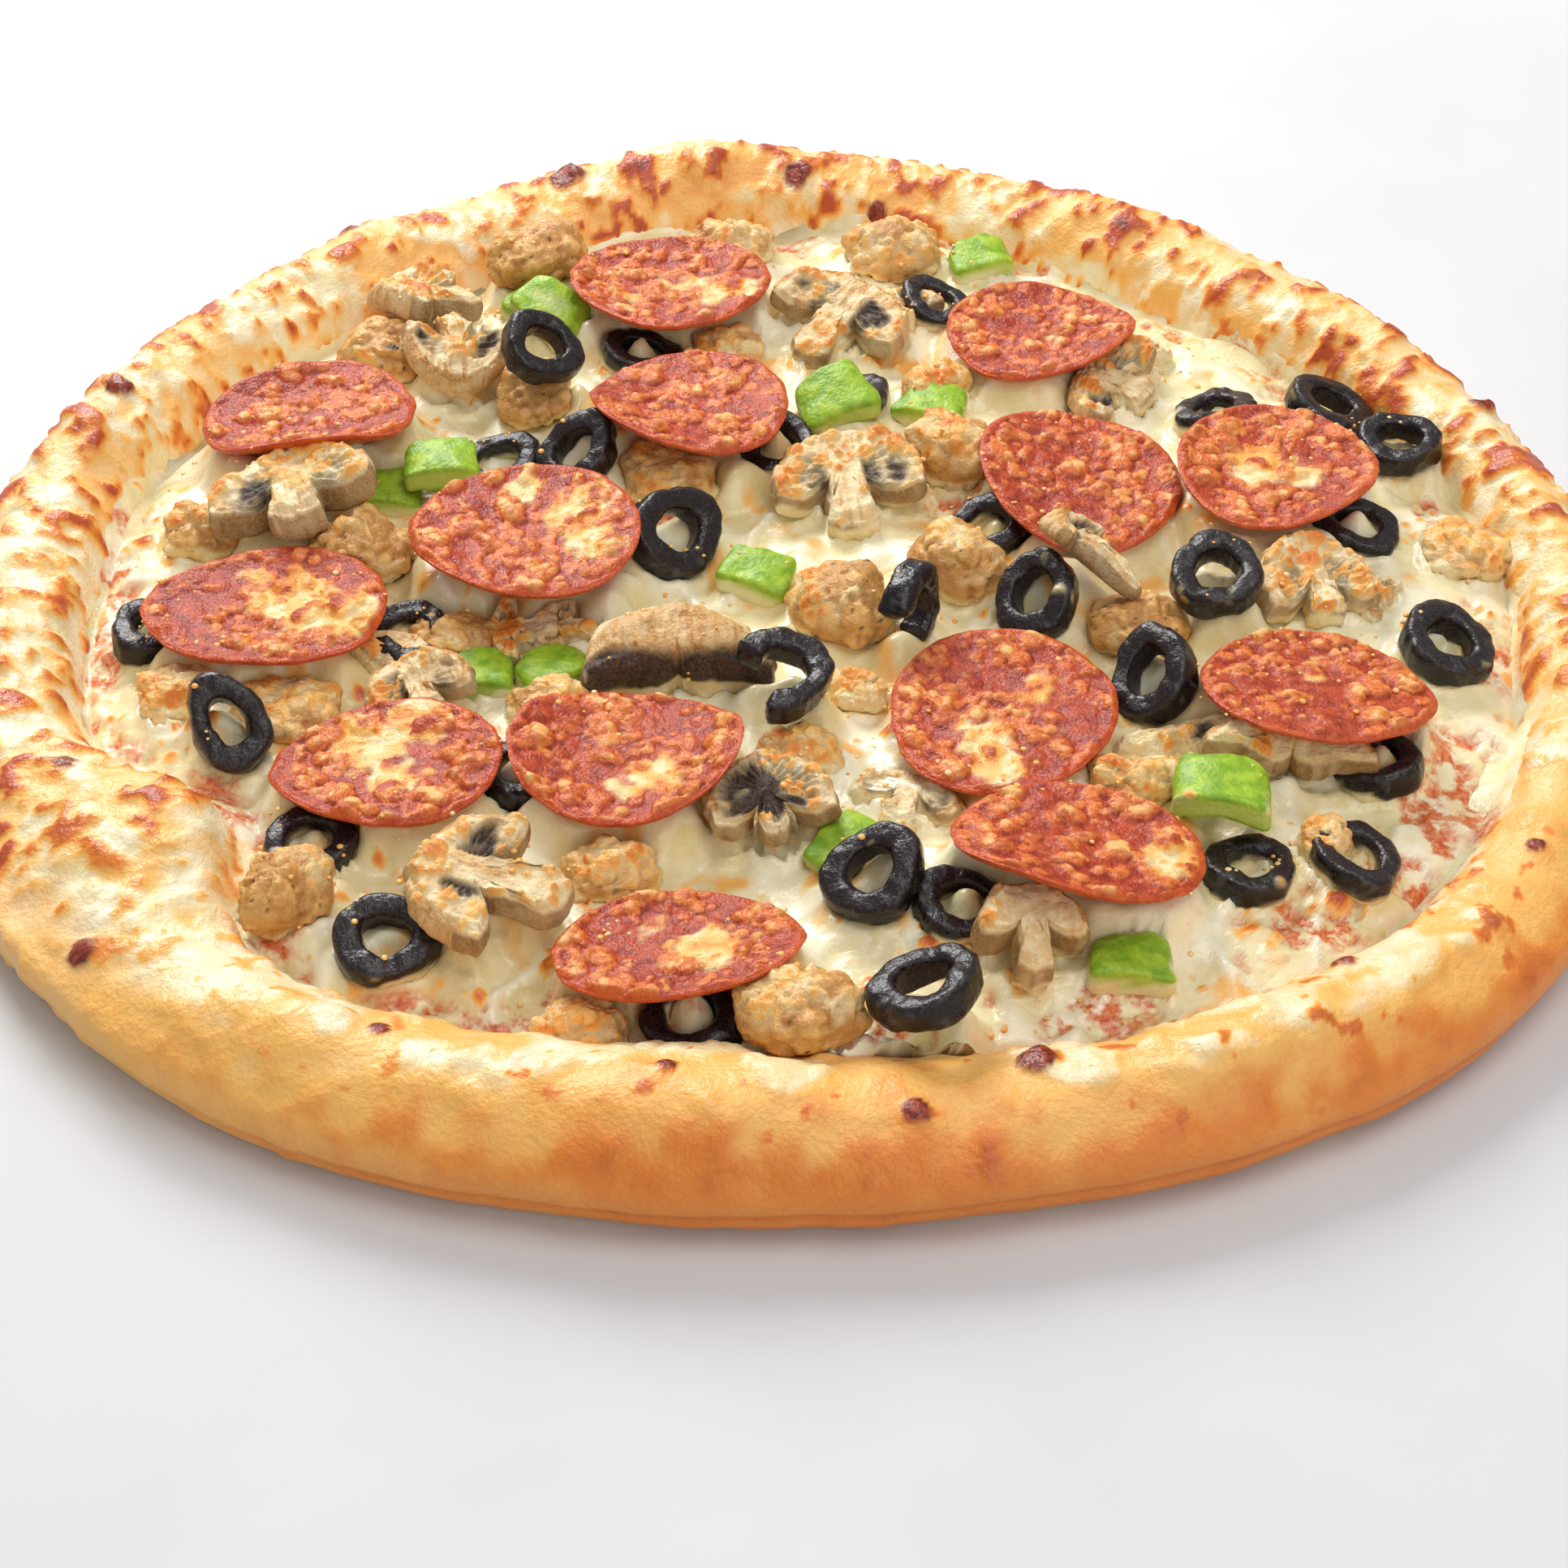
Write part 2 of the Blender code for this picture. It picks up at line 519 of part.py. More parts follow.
def fused_bits(material):
    """The lowest toppings as loose closed shapes, half sunk in the cheese but clear of the dough."""
    shapes = []
    for index, (x, y, a, b, c) in enumerate(CHEESE_LUMPS):
        points, faces = sausage_shape(index + 30, (a, b, c), 1)
        shapes.append((points, faces, x, y, 0.35 * c))
    for index, (x, y) in enumerate(CHEESE_OLIVES):
        points, faces = sausage_shape(index + 60, SUNK_OLIVE, 1)
        points = turned(points, 12.0 * math.sin(index), 12.0 * math.cos(2 * index), 40 * index)
        shapes.append((points, faces, x, y, 1.0))
    for index, (x, y, turn) in enumerate(CHEESE_PEPPERS):
        points, faces = pepper_shape(6.5, 5.0, 2.8, 1.2)
        points = turned(points, 5.0 * math.sin(index), 5.0 * math.cos(index), turn)
        shapes.append((points, faces, x, y, 1.2))
    made = []
    for index, (points, faces, x, y, rise) in enumerate(shapes):
        level = float(cheese_top(np.array([x * 1.0]), np.array([y * 1.0]))[0]) + rise
        points = points + np.array([x, y, level])
        lowest = rim_top(points[:, 0], points[:, 1]) + GAP + 0.8 + 0.07 * (index % 9)
        points[:, 2] = np.maximum(points[:, 2], lowest)
        made.append(make_object(f"bit_{index}", points, faces, material))
    return made


def join_bits(base, bits):
    """One Boolean union of the cheese with all its bits, applied, and the bits removed."""
    group = bpy.data.collections.new("bits")
    for bit in bits:
        bpy.context.scene.collection.objects.unlink(bit)
        group.objects.link(bit)
    bpy.context.scene.collection.children.link(group)
    union = base.modifiers.new("join", "BOOLEAN")
    union.operation = "UNION"
    union.operand_type = "COLLECTION"
    union.collection = group
    union.solver = "MANIFOLD"
    graph = bpy.context.evaluated_depsgraph_get()
    mesh = bpy.data.meshes.new_from_object(base.evaluated_get(graph))
    base.modifiers.clear()
    base.data = mesh
    for bit in bits:
        bpy.data.objects.remove(bit)
    bpy.data.collections.remove(group)
    work = bmesh.new()
    work.from_mesh(mesh)
    bmesh.ops.triangulate(work, faces=work.faces[:])
    work.to_mesh(mesh)
    work.free()


def main():
    for obj in list(bpy.data.objects):
        bpy.data.objects.remove(obj)
    dough = make_material("baked_dough", (0.72, 0.40, 0.13), 0.45)
    cheese = make_material("melted_cheese", (0.80, 0.72, 0.46), 0.35)
    meat = make_material("pepperoni", (0.50, 0.10, 0.05), 0.4)
    olive = make_material("black_olive", (0.02, 0.018, 0.02), 0.3)
    sausage = make_material("sausage", (0.50, 0.28, 0.11), 0.5)
    mushroom = make_material("mushroom", (0.58, 0.38, 0.18), 0.6)
    pepper = make_material("green_pepper", (0.25, 0.50, 0.03), 0.35)

    crust = make_object("crust", *crust_shape(), dough)
    layer = make_object("cheese", *cheese_shape(), cheese)
    join_bits(layer, fused_bits(cheese))
    pile = Pile()
    pile.add(crust)
    pile.add(layer)

    for name in LOWEST_LAID:
        lay_mushroom(pile, name, mushroom)
    for name, (x, y, a, b, depth, turn, bend) in PEPPERS.items():
        laid(pile, name, pepper_shape(a, b, depth, bend), x, y, a, (0, 0), turn, pepper)
    for index, (name, (x, y, a, b, c, turn)) in enumerate(SAUSAGES.items()):
        laid(pile, name, sausage_shape(index, (a, b, c), 2), x, y, 4.0, (0, 0), turn, sausage)
    for name in FIRST_LAID:
        lay_mushroom(pile, name, mushroom)
    for name in OLIVES:
        if name != LAST_OLIVE:
            lay_olive(pile, name, olive)
    for name in MUSHROOMS:
        if name not in LOWEST_LAID + FIRST_LAID + LAST_LAID:
            lay_mushroom(pile, name, mushroom)
    for index, (name, (x, y, wide, deep)) in enumerate(PEPPERONI.items()):
        sheet = pile.fit(x, y, PEPPERONI_RADIUS, 4, stiffness=0.005)
        shape = pepperoni_shape(index, PEPPERONI_RADIUS, (wide, deep), sheet)
        obj = make_object(name, *shape, meat)
        obj.location = (x * MM, y * MM, 0.0)
        pile.lay(obj)
    for name in LAST_LAID:
        lay_mushroom(pile, name, mushroom)
    lay_olive(pile, LAST_OLIVE, olive)
    centre_all(crust)


main()
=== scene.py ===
"""Looks of a whole supreme pizza: baked dough, melted cheese and every topping laid on it.

Shapes are worked out in millimetres as numpy arrays, in the frame in which the toppings' places
are read, and become metres in the mesh. Each point also gets four masks, its zones, which the
materials turn into colours: for instance where melted cheese covers it and where that is browned.
"""
import itertools
import math

import bpy
import numpy as np
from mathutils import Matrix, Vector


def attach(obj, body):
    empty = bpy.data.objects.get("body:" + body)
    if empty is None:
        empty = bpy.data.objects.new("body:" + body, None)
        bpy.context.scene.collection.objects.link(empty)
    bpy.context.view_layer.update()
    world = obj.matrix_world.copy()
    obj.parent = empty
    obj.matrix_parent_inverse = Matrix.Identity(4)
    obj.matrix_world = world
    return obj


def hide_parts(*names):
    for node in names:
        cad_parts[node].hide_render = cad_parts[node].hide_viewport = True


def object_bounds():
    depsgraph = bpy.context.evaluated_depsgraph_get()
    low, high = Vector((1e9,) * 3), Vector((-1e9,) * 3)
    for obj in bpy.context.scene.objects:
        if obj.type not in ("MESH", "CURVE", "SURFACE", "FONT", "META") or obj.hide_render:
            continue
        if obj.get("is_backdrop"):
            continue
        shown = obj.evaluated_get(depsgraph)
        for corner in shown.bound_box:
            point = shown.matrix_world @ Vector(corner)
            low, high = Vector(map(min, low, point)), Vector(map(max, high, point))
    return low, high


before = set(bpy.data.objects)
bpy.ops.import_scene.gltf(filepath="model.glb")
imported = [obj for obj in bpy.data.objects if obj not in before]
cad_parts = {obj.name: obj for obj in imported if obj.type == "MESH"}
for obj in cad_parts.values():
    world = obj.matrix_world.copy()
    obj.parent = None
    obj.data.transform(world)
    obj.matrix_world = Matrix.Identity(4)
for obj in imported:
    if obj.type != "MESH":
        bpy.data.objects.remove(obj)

CAD_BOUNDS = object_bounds()
MM = 0.001

# The dough, as the solids have it
RADIUS = 151.0
RIM_HEIGHT = 22.0
BED_HEIGHT = 5.5
RIM_WIDTH = 26.0
CHEESE_THICKNESS = 3.6
GAP = 0.35
# Harmonics of the outline: order, and the cosine's and the sine's share of the radius
OUTLINE = {2: (0.0016, -0.0049), 3: (0.0025, -0.0247), 4: (-0.0039, -0.0010), 5: (-0.0020, 0.0045)}
# Swellings of the rim: bearing in degrees, distance out, half length, half width, height
RIM_BUBBLES = [
    (215, 118, 17, 15, 7.5), (97, 141, 17, 11, 4.5), (84, 127, 13, 11, 4.0),
    (60, 138, 14, 10, 2.5), (32, 138, 15, 9, 2.5), (5, 140, 14, 9, 2.0),
    (335, 139, 18, 10, 2.5), (300, 138, 20, 11, 2.5), (265, 137, 22, 11, 2.5),
    (238, 139, 15, 10, 2.5), (190, 140, 15, 9, 2.0), (165, 138, 15, 10, 2.5), (130, 139, 16, 10, 2.5),
]
# Inward distance from the widest place, and height, up the outer wall
WALL = [(7.0, 0.0), (2.6, 1.4), (0.6, 5.0), (0.0, 8.6), (0.8, 11.4)]
# Where the rings over it lie: shares of the way from the bed out to the widest place, and of the bed
RIM_SHARES = (0.90, 0.78, 0.65, 0.52, 0.39, 0.26, 0.13, 0.0)
BED_SHARES = (0.97, 0.90)
CAD_SEGMENTS = 72

# Dark blisters on the rim: x, y, radius, height
BLISTERS = [
    (-47, 133, 4.2, 1.6), (-92, 118, 3.4, 1.4), (54, 143, 2.6, 1.2), (-108, -100, 2.6, 0.9),
    (37, -125, 3.2, 1.1), (19, -135, 2.2, 0.8), (86, -103, 2.0, 0.8), (120, -78, 1.8, 0.7),
    (-17, -128, 1.7, 0.6), (-60, -119, 1.9, 0.6), (80, -130, 1.5, 0.5), (-118, -60, 1.9, 0.7),
    (3, 134, 3.0, 1.0), (20, 126, 2.6, 0.8), (-128, 48, 2.6, 0.8), (134, 46, 2.6, 0.9),
]

PEPPERONI_THICKNESS = 2.4
# How firmly each power of a slice's fitted sheet is held back
HOLD = (0.02, 0.02, 4.0, 10.0, 10.0)
# A slice's side, from its edge to its underside: share of its width and depth below the top
PEPPERONI_SIDE = [(1.004, 0.5), (0.996, 1.1), (0.96, 1.6), (0.6, PEPPERONI_THICKNESS)]
# Cheese patches on the slices: dx, dy, radius, strength
PEPPERONI = {
    "pepperoni_01": [(3, 2, 8, 0.7), (12, -4, 7, 0.9), (-8, -6, 4, 0.5)],
    "pepperoni_02": [(2, -3, 4, 0.4)],
    "pepperoni_03": [],
    "pepperoni_04": [(4, -6, 4, 0.4)],
    "pepperoni_05": [],
    "pepperoni_06": [(-2, 1, 8, 1.0), (4, -3, 5, 0.7)],
    "pepperoni_07": [(9, 6, 9, 1.0), (13, -3, 6, 0.9), (0, 12, 6, 0.7)],
    "pepperoni_08": [(6, 2, 9, 1.1), (15, -3, 8, 1.2), (-2, 8, 5, 0.7)],
    "pepperoni_09": [(-4, -6, 9, 0.8), (-2, -15, 6, 1.1), (5, 5, 6, 0.7)],
    "pepperoni_10": [(0, 4, 6, 0.6)],
    "pepperoni_11": [(-4, 5, 8, 1.0), (4, 10, 7, 0.9), (2, -4, 6, 0.8)],
    "pepperoni_12": [(4, -5, 8, 0.8), (-4, 3, 5, 0.5)],
    "pepperoni_13": [(-2, 2, 6, 0.5), (14, -2, 6, 0.9)],
    "pepperoni_14": [(4, -2, 8, 0.8), (-4, 6, 5, 0.5)],
}

OLIVE_RADIUS = 8.6
OLIVE_HOLE = 4.1
OLIVE_HEIGHT = 5.4
# Rings: radius share, flattening, tilt about x and y, turn, sweep in degrees
OLIVES = {
    "olive_01": (0.95, 0.90, 14, 8, 0, 360), "olive_02": (1.00, 0.80, 24, -20, 40, 360),
    "olive_03": (1.15, 0.85, 28, 40, 60, 360), "olive_04": (1.00, 0.90, 8, 22, 0, 360),
    "olive_05": (1.00, 0.95, 12, 60, 0, 250), "olive_06": (1.02, 0.85, 22, -34, 60, 360),
    "olive_07": (1.04, 0.90, 18, -16, 80, 360), "olive_08": (1.08, 0.80, 20, -38, 70, 360),
    "olive_09": (1.08, 0.90, 18, 8, 250, 270), "olive_10": (1.05, 0.70, 30, 20, 130, 360),
    "olive_11": (0.98, 0.90, 8, 4, 0, 360), "olive_12": (1.00, 0.92, 14, -16, 40, 360),
    "olive_13": (1.05, 0.85, 14, -20, 30, 360), "olive_14": (1.02, 0.92, 6, 12, 0, 360),
    "olive_15": (0.92, 0.95, 8, -8, 0, 360), "olive_16": (1.05, 0.92, 6, 8, 90, 360),
}

# Sausage pieces: half length, half width, half height, turn
SAUSAGE_SUNK = 0.55
SAUSAGES = {
    "sausage_01": (11, 9, 6.5, 30), "sausage_02": (8, 9, 6.5, 70), "sausage_03": (8, 9, 6, 0),
    "sausage_04": (8.5, 10, 7, 80), "sausage_05": (9, 10, 7, 20), "sausage_06": (8.5, 9.5, 7, 60),
    "sausage_07": (9, 10, 7, 40), "sausage_08": (9, 7, 5.5, 10), "sausage_09": (8, 8, 6, 0),
    "sausage_10": (10, 8, 6, 10),
}

# Mushrooms: half width of the cap, height of the cap, stem length, thickness, turn, tilt about x
# and y, bend, and what shows: flesh, gills, skin or stem
MUSHROOMS = {
    "mushroom_01": (12, 11, 10, 6, 80, -6, 12, 2.0, "flesh"),
    "mushroom_02": (10, 11, 6, 6, 190, 10, 0, 2.0, "flesh"),
    "mushroom_03": (15, 13, 8, 7, 10, 8, 4, 2.0, "flesh"),
    "mushroom_04": (14, 15, 10, 6, 8, 6, 0, 2.5, "flesh"),
    "mushroom_05": (14, 12, 12, 6, -35, 8, -4, 2.0, "flesh"),
    "mushroom_06": (12, 9, 6, 5, 60, 6, 0, 2.5, "flesh"),
    "mushroom_07": (10, 14, 5, 6, 12, 10, 6, 1.5, "flesh"),
    "mushroom_08": (16, 13, 0, 8, 4, 24, 2, 3.0, "skin"),
    "mushroom_09": (9, 9, 4, 6, 20, 12, 0, 1.5, "flesh"),
    "mushroom_10": (10, 14, 4, 5, 10, 8, 4, 2.0, "gills"),
    "mushroom_11": (12, 12, 12, 6, 75, 8, 0, 2.0, "flesh"),
    "mushroom_12": (14, 6, 0, 6, -8, 10, 0, 1.0, "stem"),
    "mushroom_13": (8, 8, 7, 9, 5, 10, 0, 1.0, "stem"),
    "mushroom_14": (8, 6, 14, 4, 50, 14, 4, 2.5, "flesh"),
}

# Green pepper pieces: half length, half width, half height, turn, bend
PEPPERS = {
    "pepper_01": (7.5, 6.0, 2.2, -30, 1.5), "pepper_02": (7.0, 5.5, 2.6, 10, 1.5),
    "pepper_03": (7.5, 6.0, 2.8, 20, 2.0), "pepper_04": (8.0, 6.5, 2.4, -10, 2.0),
}

# The small toppings that are sunk in the cheese
SUNK_LUMPS = [
    (-22, 30, 9, 9, 5.5), (-107, 12, 8, 8, 5), (-11, 115, 10, 7, 5.5), (-58, -18, 8, 6, 4.5),
    (-40, -38, 7, 6, 5), (-28, -79, 8, 6, 5), (-31, -112, 8, 6, 5), (-104, -35, 8, 7, 4),
    (12, -33, 6, 5, 3.5), (3, -50, 8, 6, 4.5), (58, -58, 8, 6, 4.5), (88, -72, 5, 5, 4.5),
    (30, 60, 7, 7, 5), (125, 8, 8, 8, 4), (-11, 76, 8, 6, 4), (23, 110, 11, 9, 7), (-85, -38, 10, 8, 4),
]
SUNK_OLIVES = [
    (-29, 73), (-54, 34), (-1, 40), (31, 91), (13, 58), (84, 50), (-112, -16), (-66, -19),
    (-14, -110), (28, -88), (75, -78), (100, -52), (-44, -57), (106, 13), (38, 14), (-77, -73), (92, -76),
]
SUNK_PEPPERS = [
    (-51, 88, 40), (-75, 26, 0), (41, 108, 20), (29, 53, -20), (-54, -29, 0), (-40, -28, 30),
    (54, -99, 0), (-5, -1, -20), (10, -73, 50),
]

# Places where the sauce shows through thin cheese: x, y, half length, half width
SAUCE = [
    (113, -47, 6, 12), (108, -63, 8, 10), (101, -76, 8, 8), (47, -107, 14, 5), (-95, -62, 7, 12),
    (-45, -110, 14, 5), (0, -117, 12, 4), (123, -20, 4, 12), (33, 22, 6, 6), (84, -88, 10, 6),
    (-24, 22, 8, 5), (122, 20, 4, 10),
]

# Small mushroom slices sunk in the cheese: x, y, half width, cap, stem, thickness, turn
SUNK_MUSHROOMS = [
    (69, 68, 9, 8, 6, 5, 40), (-68, -27, 9, 8, 0, 5, -30), (-48, -17, 8, 4, 8, 5, 95),
    (-39, -17, 6, 5, 6, 5, 80), (66, -48, 10, 5, 0, 5, 10), (20, -62, 9, 8, 5, 5, -20),
    (22, 88, 10, 8, 6, 5, 20), (108, -8, 6, 5, 0, 4, 60),
]

# Browning over any colour: where it starts, where it is full, and its tint
TOAST = [
    (0.02, 0.30, (248, 188, 98)), (0.26, 0.58, (230, 132, 46)), (0.54, 0.80, (184, 76, 32)),
    (0.86, 1.05, (120, 42, 22)),
]

# Cheese at a topping's foot: the topping's word in its piece's name, first seed of the ragged
# edge and the height that it reaches
CLINGS = {
    "olive": ("ring", 600, 0.3), "sausage": ("knob", 620, 2.4), "mushroom": ("slice", 640, 2.4),
    "pepper": ("dice", 660, 2.4),
}
# The same for the sunk ones, with the whole name of the piece that holds a kind
SUNK_CLINGS = {
    "sausage": ("sunk_sausage", 680, 2.0), "olive": ("sunk_olives", 700, 0.6),
    "pepper": ("sunk_peppers", 720, 1.4), "mushroom": ("sunk_mushrooms", 740, 2.0),
}
# First seed of a kind's noise, and of its sunk ones
OLIVE_SEED, SUNK_OLIVE_SEED = 200, 250
MUSHROOM_SEED, SUNK_MUSHROOM_SEED = 300, 330
PEPPER_SEED, SUNK_PEPPER_SEED = 500, 550
# First seed and the seeds that each piece takes; sunk sausage is numbered on from the last value
PEPPERONI_SEED, PEPPERONI_SEEDS = 100, 13
SAUSAGE_SEED, SAUSAGE_SEEDS, SUNK_SAUSAGE_FIRST = 400, 17, 30

# Loose beads of fat: seed, places tried, beads kept
FAT_SEED, FAT_TRIES, FAT_BEADS = 11, 9000, 600

# Grids: points round the dough, steps from ring to ring, and steps across the sheets
DOUGH_AROUND, DOUGH_STEPS = 1280, 5
CHEESE_GRID, PEPPERONI_GRID, MUSHROOM_GRID = 304, 92, 76
MUSHROOM_SIDE_RINGS = 8
# Balls: points round, and steps from pole to pole
SAUSAGE_BALL, PEPPER_BALL, FAT_BALL = (84, 50), (80, 40), (8, 5)
# Rings of olive: points round a whole and an open one, and points round the section
OLIVE_AROUND, OPEN_OLIVE_AROUND, OLIVE_ACROSS = 96, 84, 36
# Turn in radians from one piece's phase to the next one's, which never repeats
GOLDEN_ANGLE = 2.399963

# Half the side of the square of millimetre cells that holds the pizza, and an empty cell's mark
SPAN = 160
EMPTY = 99.0

# Lights: place in metres, size and power
LIGHTS = {
    "window": ((-0.35, 0.85, 0.75), 0.6, 14.0), "overhead": ((0.25, -0.1, 1.1), 0.6, 4.0),
    "front": ((0.5, -0.9, 0.6), 0.7, 2.2),
}
ROOM_LIGHT = 0.40
FLOOR_SIZE = 6.0

# Camera: focal length in pixels on the photo's frame, place and downward pitch
PHOTO_WIDTH = 1932
FOCAL_PIXELS = 3450.6
CAMERA_BACK = 406.0
CAMERA_UP = 320.8
CAMERA_PITCH = 41.56
SENSOR = 36.0


def rgb(red, green, blue):
    """A colour of 0 to 255 as the linear colour that the shaders take."""
    return tuple(((c / 255 + 0.055) / 1.055) ** 2.4 if c > 10 else c / 3295 for c in (red, green, blue))


def smooth(low, high, value):
    """Smooth step from 0 at low to 1 at high."""
    share = np.clip((value - low) / (high - low), 0.0, 1.0)
    return share * share * (3.0 - 2.0 * share)


def hashed(corner, seed):
    """A number from 0 to 1 for each lattice point: its coordinates mixed with large odd factors."""
    factors = (374761393, 668265263, 2246822519)
    mixed = np.full(len(corner), (seed * 3266489917 + 12345) % 2 ** 32, dtype=np.uint32)
    for axis, factor in enumerate(factors):
        mixed = mixed + corner[:, axis].astype(np.int64).astype(np.uint32) * np.uint32(factor)
        mixed = (mixed ^ (mixed >> np.uint32(15))) * np.uint32(2654435761)
    mixed = mixed ^ (mixed >> np.uint32(13))
    return mixed.astype(np.float64) / 2 ** 32


def noise(points, size, seed=0, octaves=3):
    """Noise from 0 to 1: lattice numbers blended by smooth steps, each octave half as large and strong.

    The size is in millimetres, and each seed gives a pattern of its own.
    """
    total = np.zeros(len(points))
    for octave in range(octaves):
        place = points * (2 ** octave / size) + 7.31 * octave
        corner = np.floor(place)
        share = place - corner
        share = share * share * (3.0 - 2.0 * share)
        value = np.zeros(len(points))
        for step in itertools.product((0, 1), repeat=3):
            weight = np.prod(np.where(np.array(step) == 1, share, 1.0 - share), axis=1)
            value += weight * hashed(corner + step, seed + octave)
        total += value * 0.5 ** octave
    return total / sum(0.5 ** octave for octave in range(octaves))


def cells(points, size, seed=0):
    """Distance to the nearest of the points strewn one to each cell, in cells, and its own number."""
    place = points / size
    corner = np.floor(place)
    nearest = np.full(len(points), 9.0)
    number = np.zeros(len(points))
    for step in itertools.product((-1, 0, 1), repeat=3):
        cell = corner + step
        spot = cell + np.stack([hashed(cell, seed + 11 * k + 1) for k in range(3)], axis=1)
        distance = np.linalg.norm(place - spot, axis=1)
        closer = distance < nearest
        nearest = np.where(closer, distance, nearest)
        number = np.where(closer, hashed(cell, seed + 5), number)
    return nearest, number


def beads(points, size, reach, seed=0):
    """Rounded beads from 0 to 1: half a ball over each strewn point, of a size by its own number."""
    distance, number = cells(points, size, seed)
    radius = reach * (0.4 + 0.6 * number)
    return np.sqrt(np.clip(1.0 - (distance / radius) ** 2, 0.0, 1.0)) * (0.5 + 0.5 * number)


def outline_factor(angle):
    """Share of the radius at an angle: one plus a few harmonics."""
    share = np.ones_like(angle)
    for order, (cosine, sine) in OUTLINE.items():
        share = share + cosine * np.cos(order * angle) + sine * np.sin(order * angle)
    return share


def bed_edge(angle):
    """Distance from the centre at which the bed ends and the rim starts."""
    dent = 16.0 * np.exp(-((np.angle(np.exp(1j * (angle - math.radians(215))))) / 0.17) ** 2)
    width = RIM_WIDTH - 3.5 * np.cos(2 * angle) - 2.0 * np.cos(angle)
    return RADIUS * outline_factor(angle) - width + 1.5 * np.sin(5 * angle + 1.0) - dent


def rim_top(x, y):
    """Height of the dough's upper face: a flat bed, then a rounded rim with its swellings."""
    angle = np.arctan2(y, x)
    radius = np.hypot(x, y)
    inner = bed_edge(angle)
    outer = RADIUS * outline_factor(angle)
    share = np.clip((radius - inner) / (outer - inner), 0.0, 1.0)
    crest = np.sin(math.pi * np.clip(share * 0.86, 0, 1) ** 0.85) ** 0.75
    lean = 0.93 + 0.03 * np.sin(3 * angle) + 0.03 * np.sin(7 * angle + 2.0)
    swell = np.zeros_like(x)
    for degrees, distance, half_length, half_width, height in RIM_BUBBLES:
        turn = math.radians(degrees)
        along = -math.sin(turn) * x + math.cos(turn) * y
        across = math.cos(turn) * x + math.sin(turn) * y - distance
        swell = swell + height * np.exp(-(along / half_length) ** 2 - (across / half_width) ** 2)
    swell = swell * np.clip((radius - inner + 10.0) / 12.0, 0.0, 1.0)
    swell = swell * np.clip((outer - radius) / 9.0, 0.0, 1.0)
    return BED_HEIGHT + (RIM_HEIGHT * lean - BED_HEIGHT - 3.0) * crest + swell


def cheese_top(x, y):
    """Height of the bare cheese: the bed, its thickness and low waves, thinner towards the rim."""
    angle = np.arctan2(y, x)
    reach = np.hypot(x, y) / bed_edge(angle)
    waves = 0.7 * np.sin(x / 9.0 + 1.0) * np.sin(y / 11.0) + 0.5 * np.sin((x - y) / 14.0)
    fall = np.clip((1.0 - reach) / 0.10, 0.0, 1.0)
    return BED_HEIGHT + GAP + 0.8 + (CHEESE_THICKNESS - 0.8 + waves) * fall ** 0.5


def round_axis(angle, radius, level):
    """Points at angles round the upright axis, at a radius from it and at a level."""
    return np.stack([radius * np.cos(angle), radius * np.sin(angle), level + 0.0 * angle], axis=1)


def flat_places(x, y):
    """Points at level 0, for noise that is the same at any height."""
    return np.stack([x, y, np.zeros_like(x)], axis=1)


def box_middle(points):
    """The middle of the box round points."""
    return (points.min(axis=0) + points.max(axis=0)) / 2


def middle_shift():
    """The middle of the solid dough's box in the frame of the places; the model's origin is there."""
    angle = np.linspace(0.0, 2.0 * math.pi, CAD_SEGMENTS, endpoint=False)
    return box_middle(round_axis(angle, RADIUS * outline_factor(angle), 0.0))


SHIFT = middle_shift()


class Tone:
    """A socket of a material; arithmetic on it adds Math nodes."""

    def __init__(self, sheet, socket):
        self.sheet = sheet
        self.socket = socket

    def maths(self, operation, *others):
        """A Math node of an operation and its values or tones."""
        return self.sheet.node("ShaderNodeMath", {"operation": operation}, dict(enumerate(others)))

    def __add__(self, other):
        return self.maths("ADD", self, other)

    def __radd__(self, other):
        return self.maths("ADD", other, self)

    def __sub__(self, other):
        return self.maths("SUBTRACT", self, other)

    def __rsub__(self, other):
        return self.maths("SUBTRACT", other, self)

    def __mul__(self, other):
        return self.maths("MULTIPLY", self, other)

    def __rmul__(self, other):
        return self.maths("MULTIPLY", other, self)

    def step(self, low, high):
        """Smooth step of this value between two values."""
        values = {"Value": self, "From Min": low, "From Max": high}
        return self.sheet.node("ShaderNodeMapRange", {"interpolation_type": "SMOOTHSTEP"}, values)


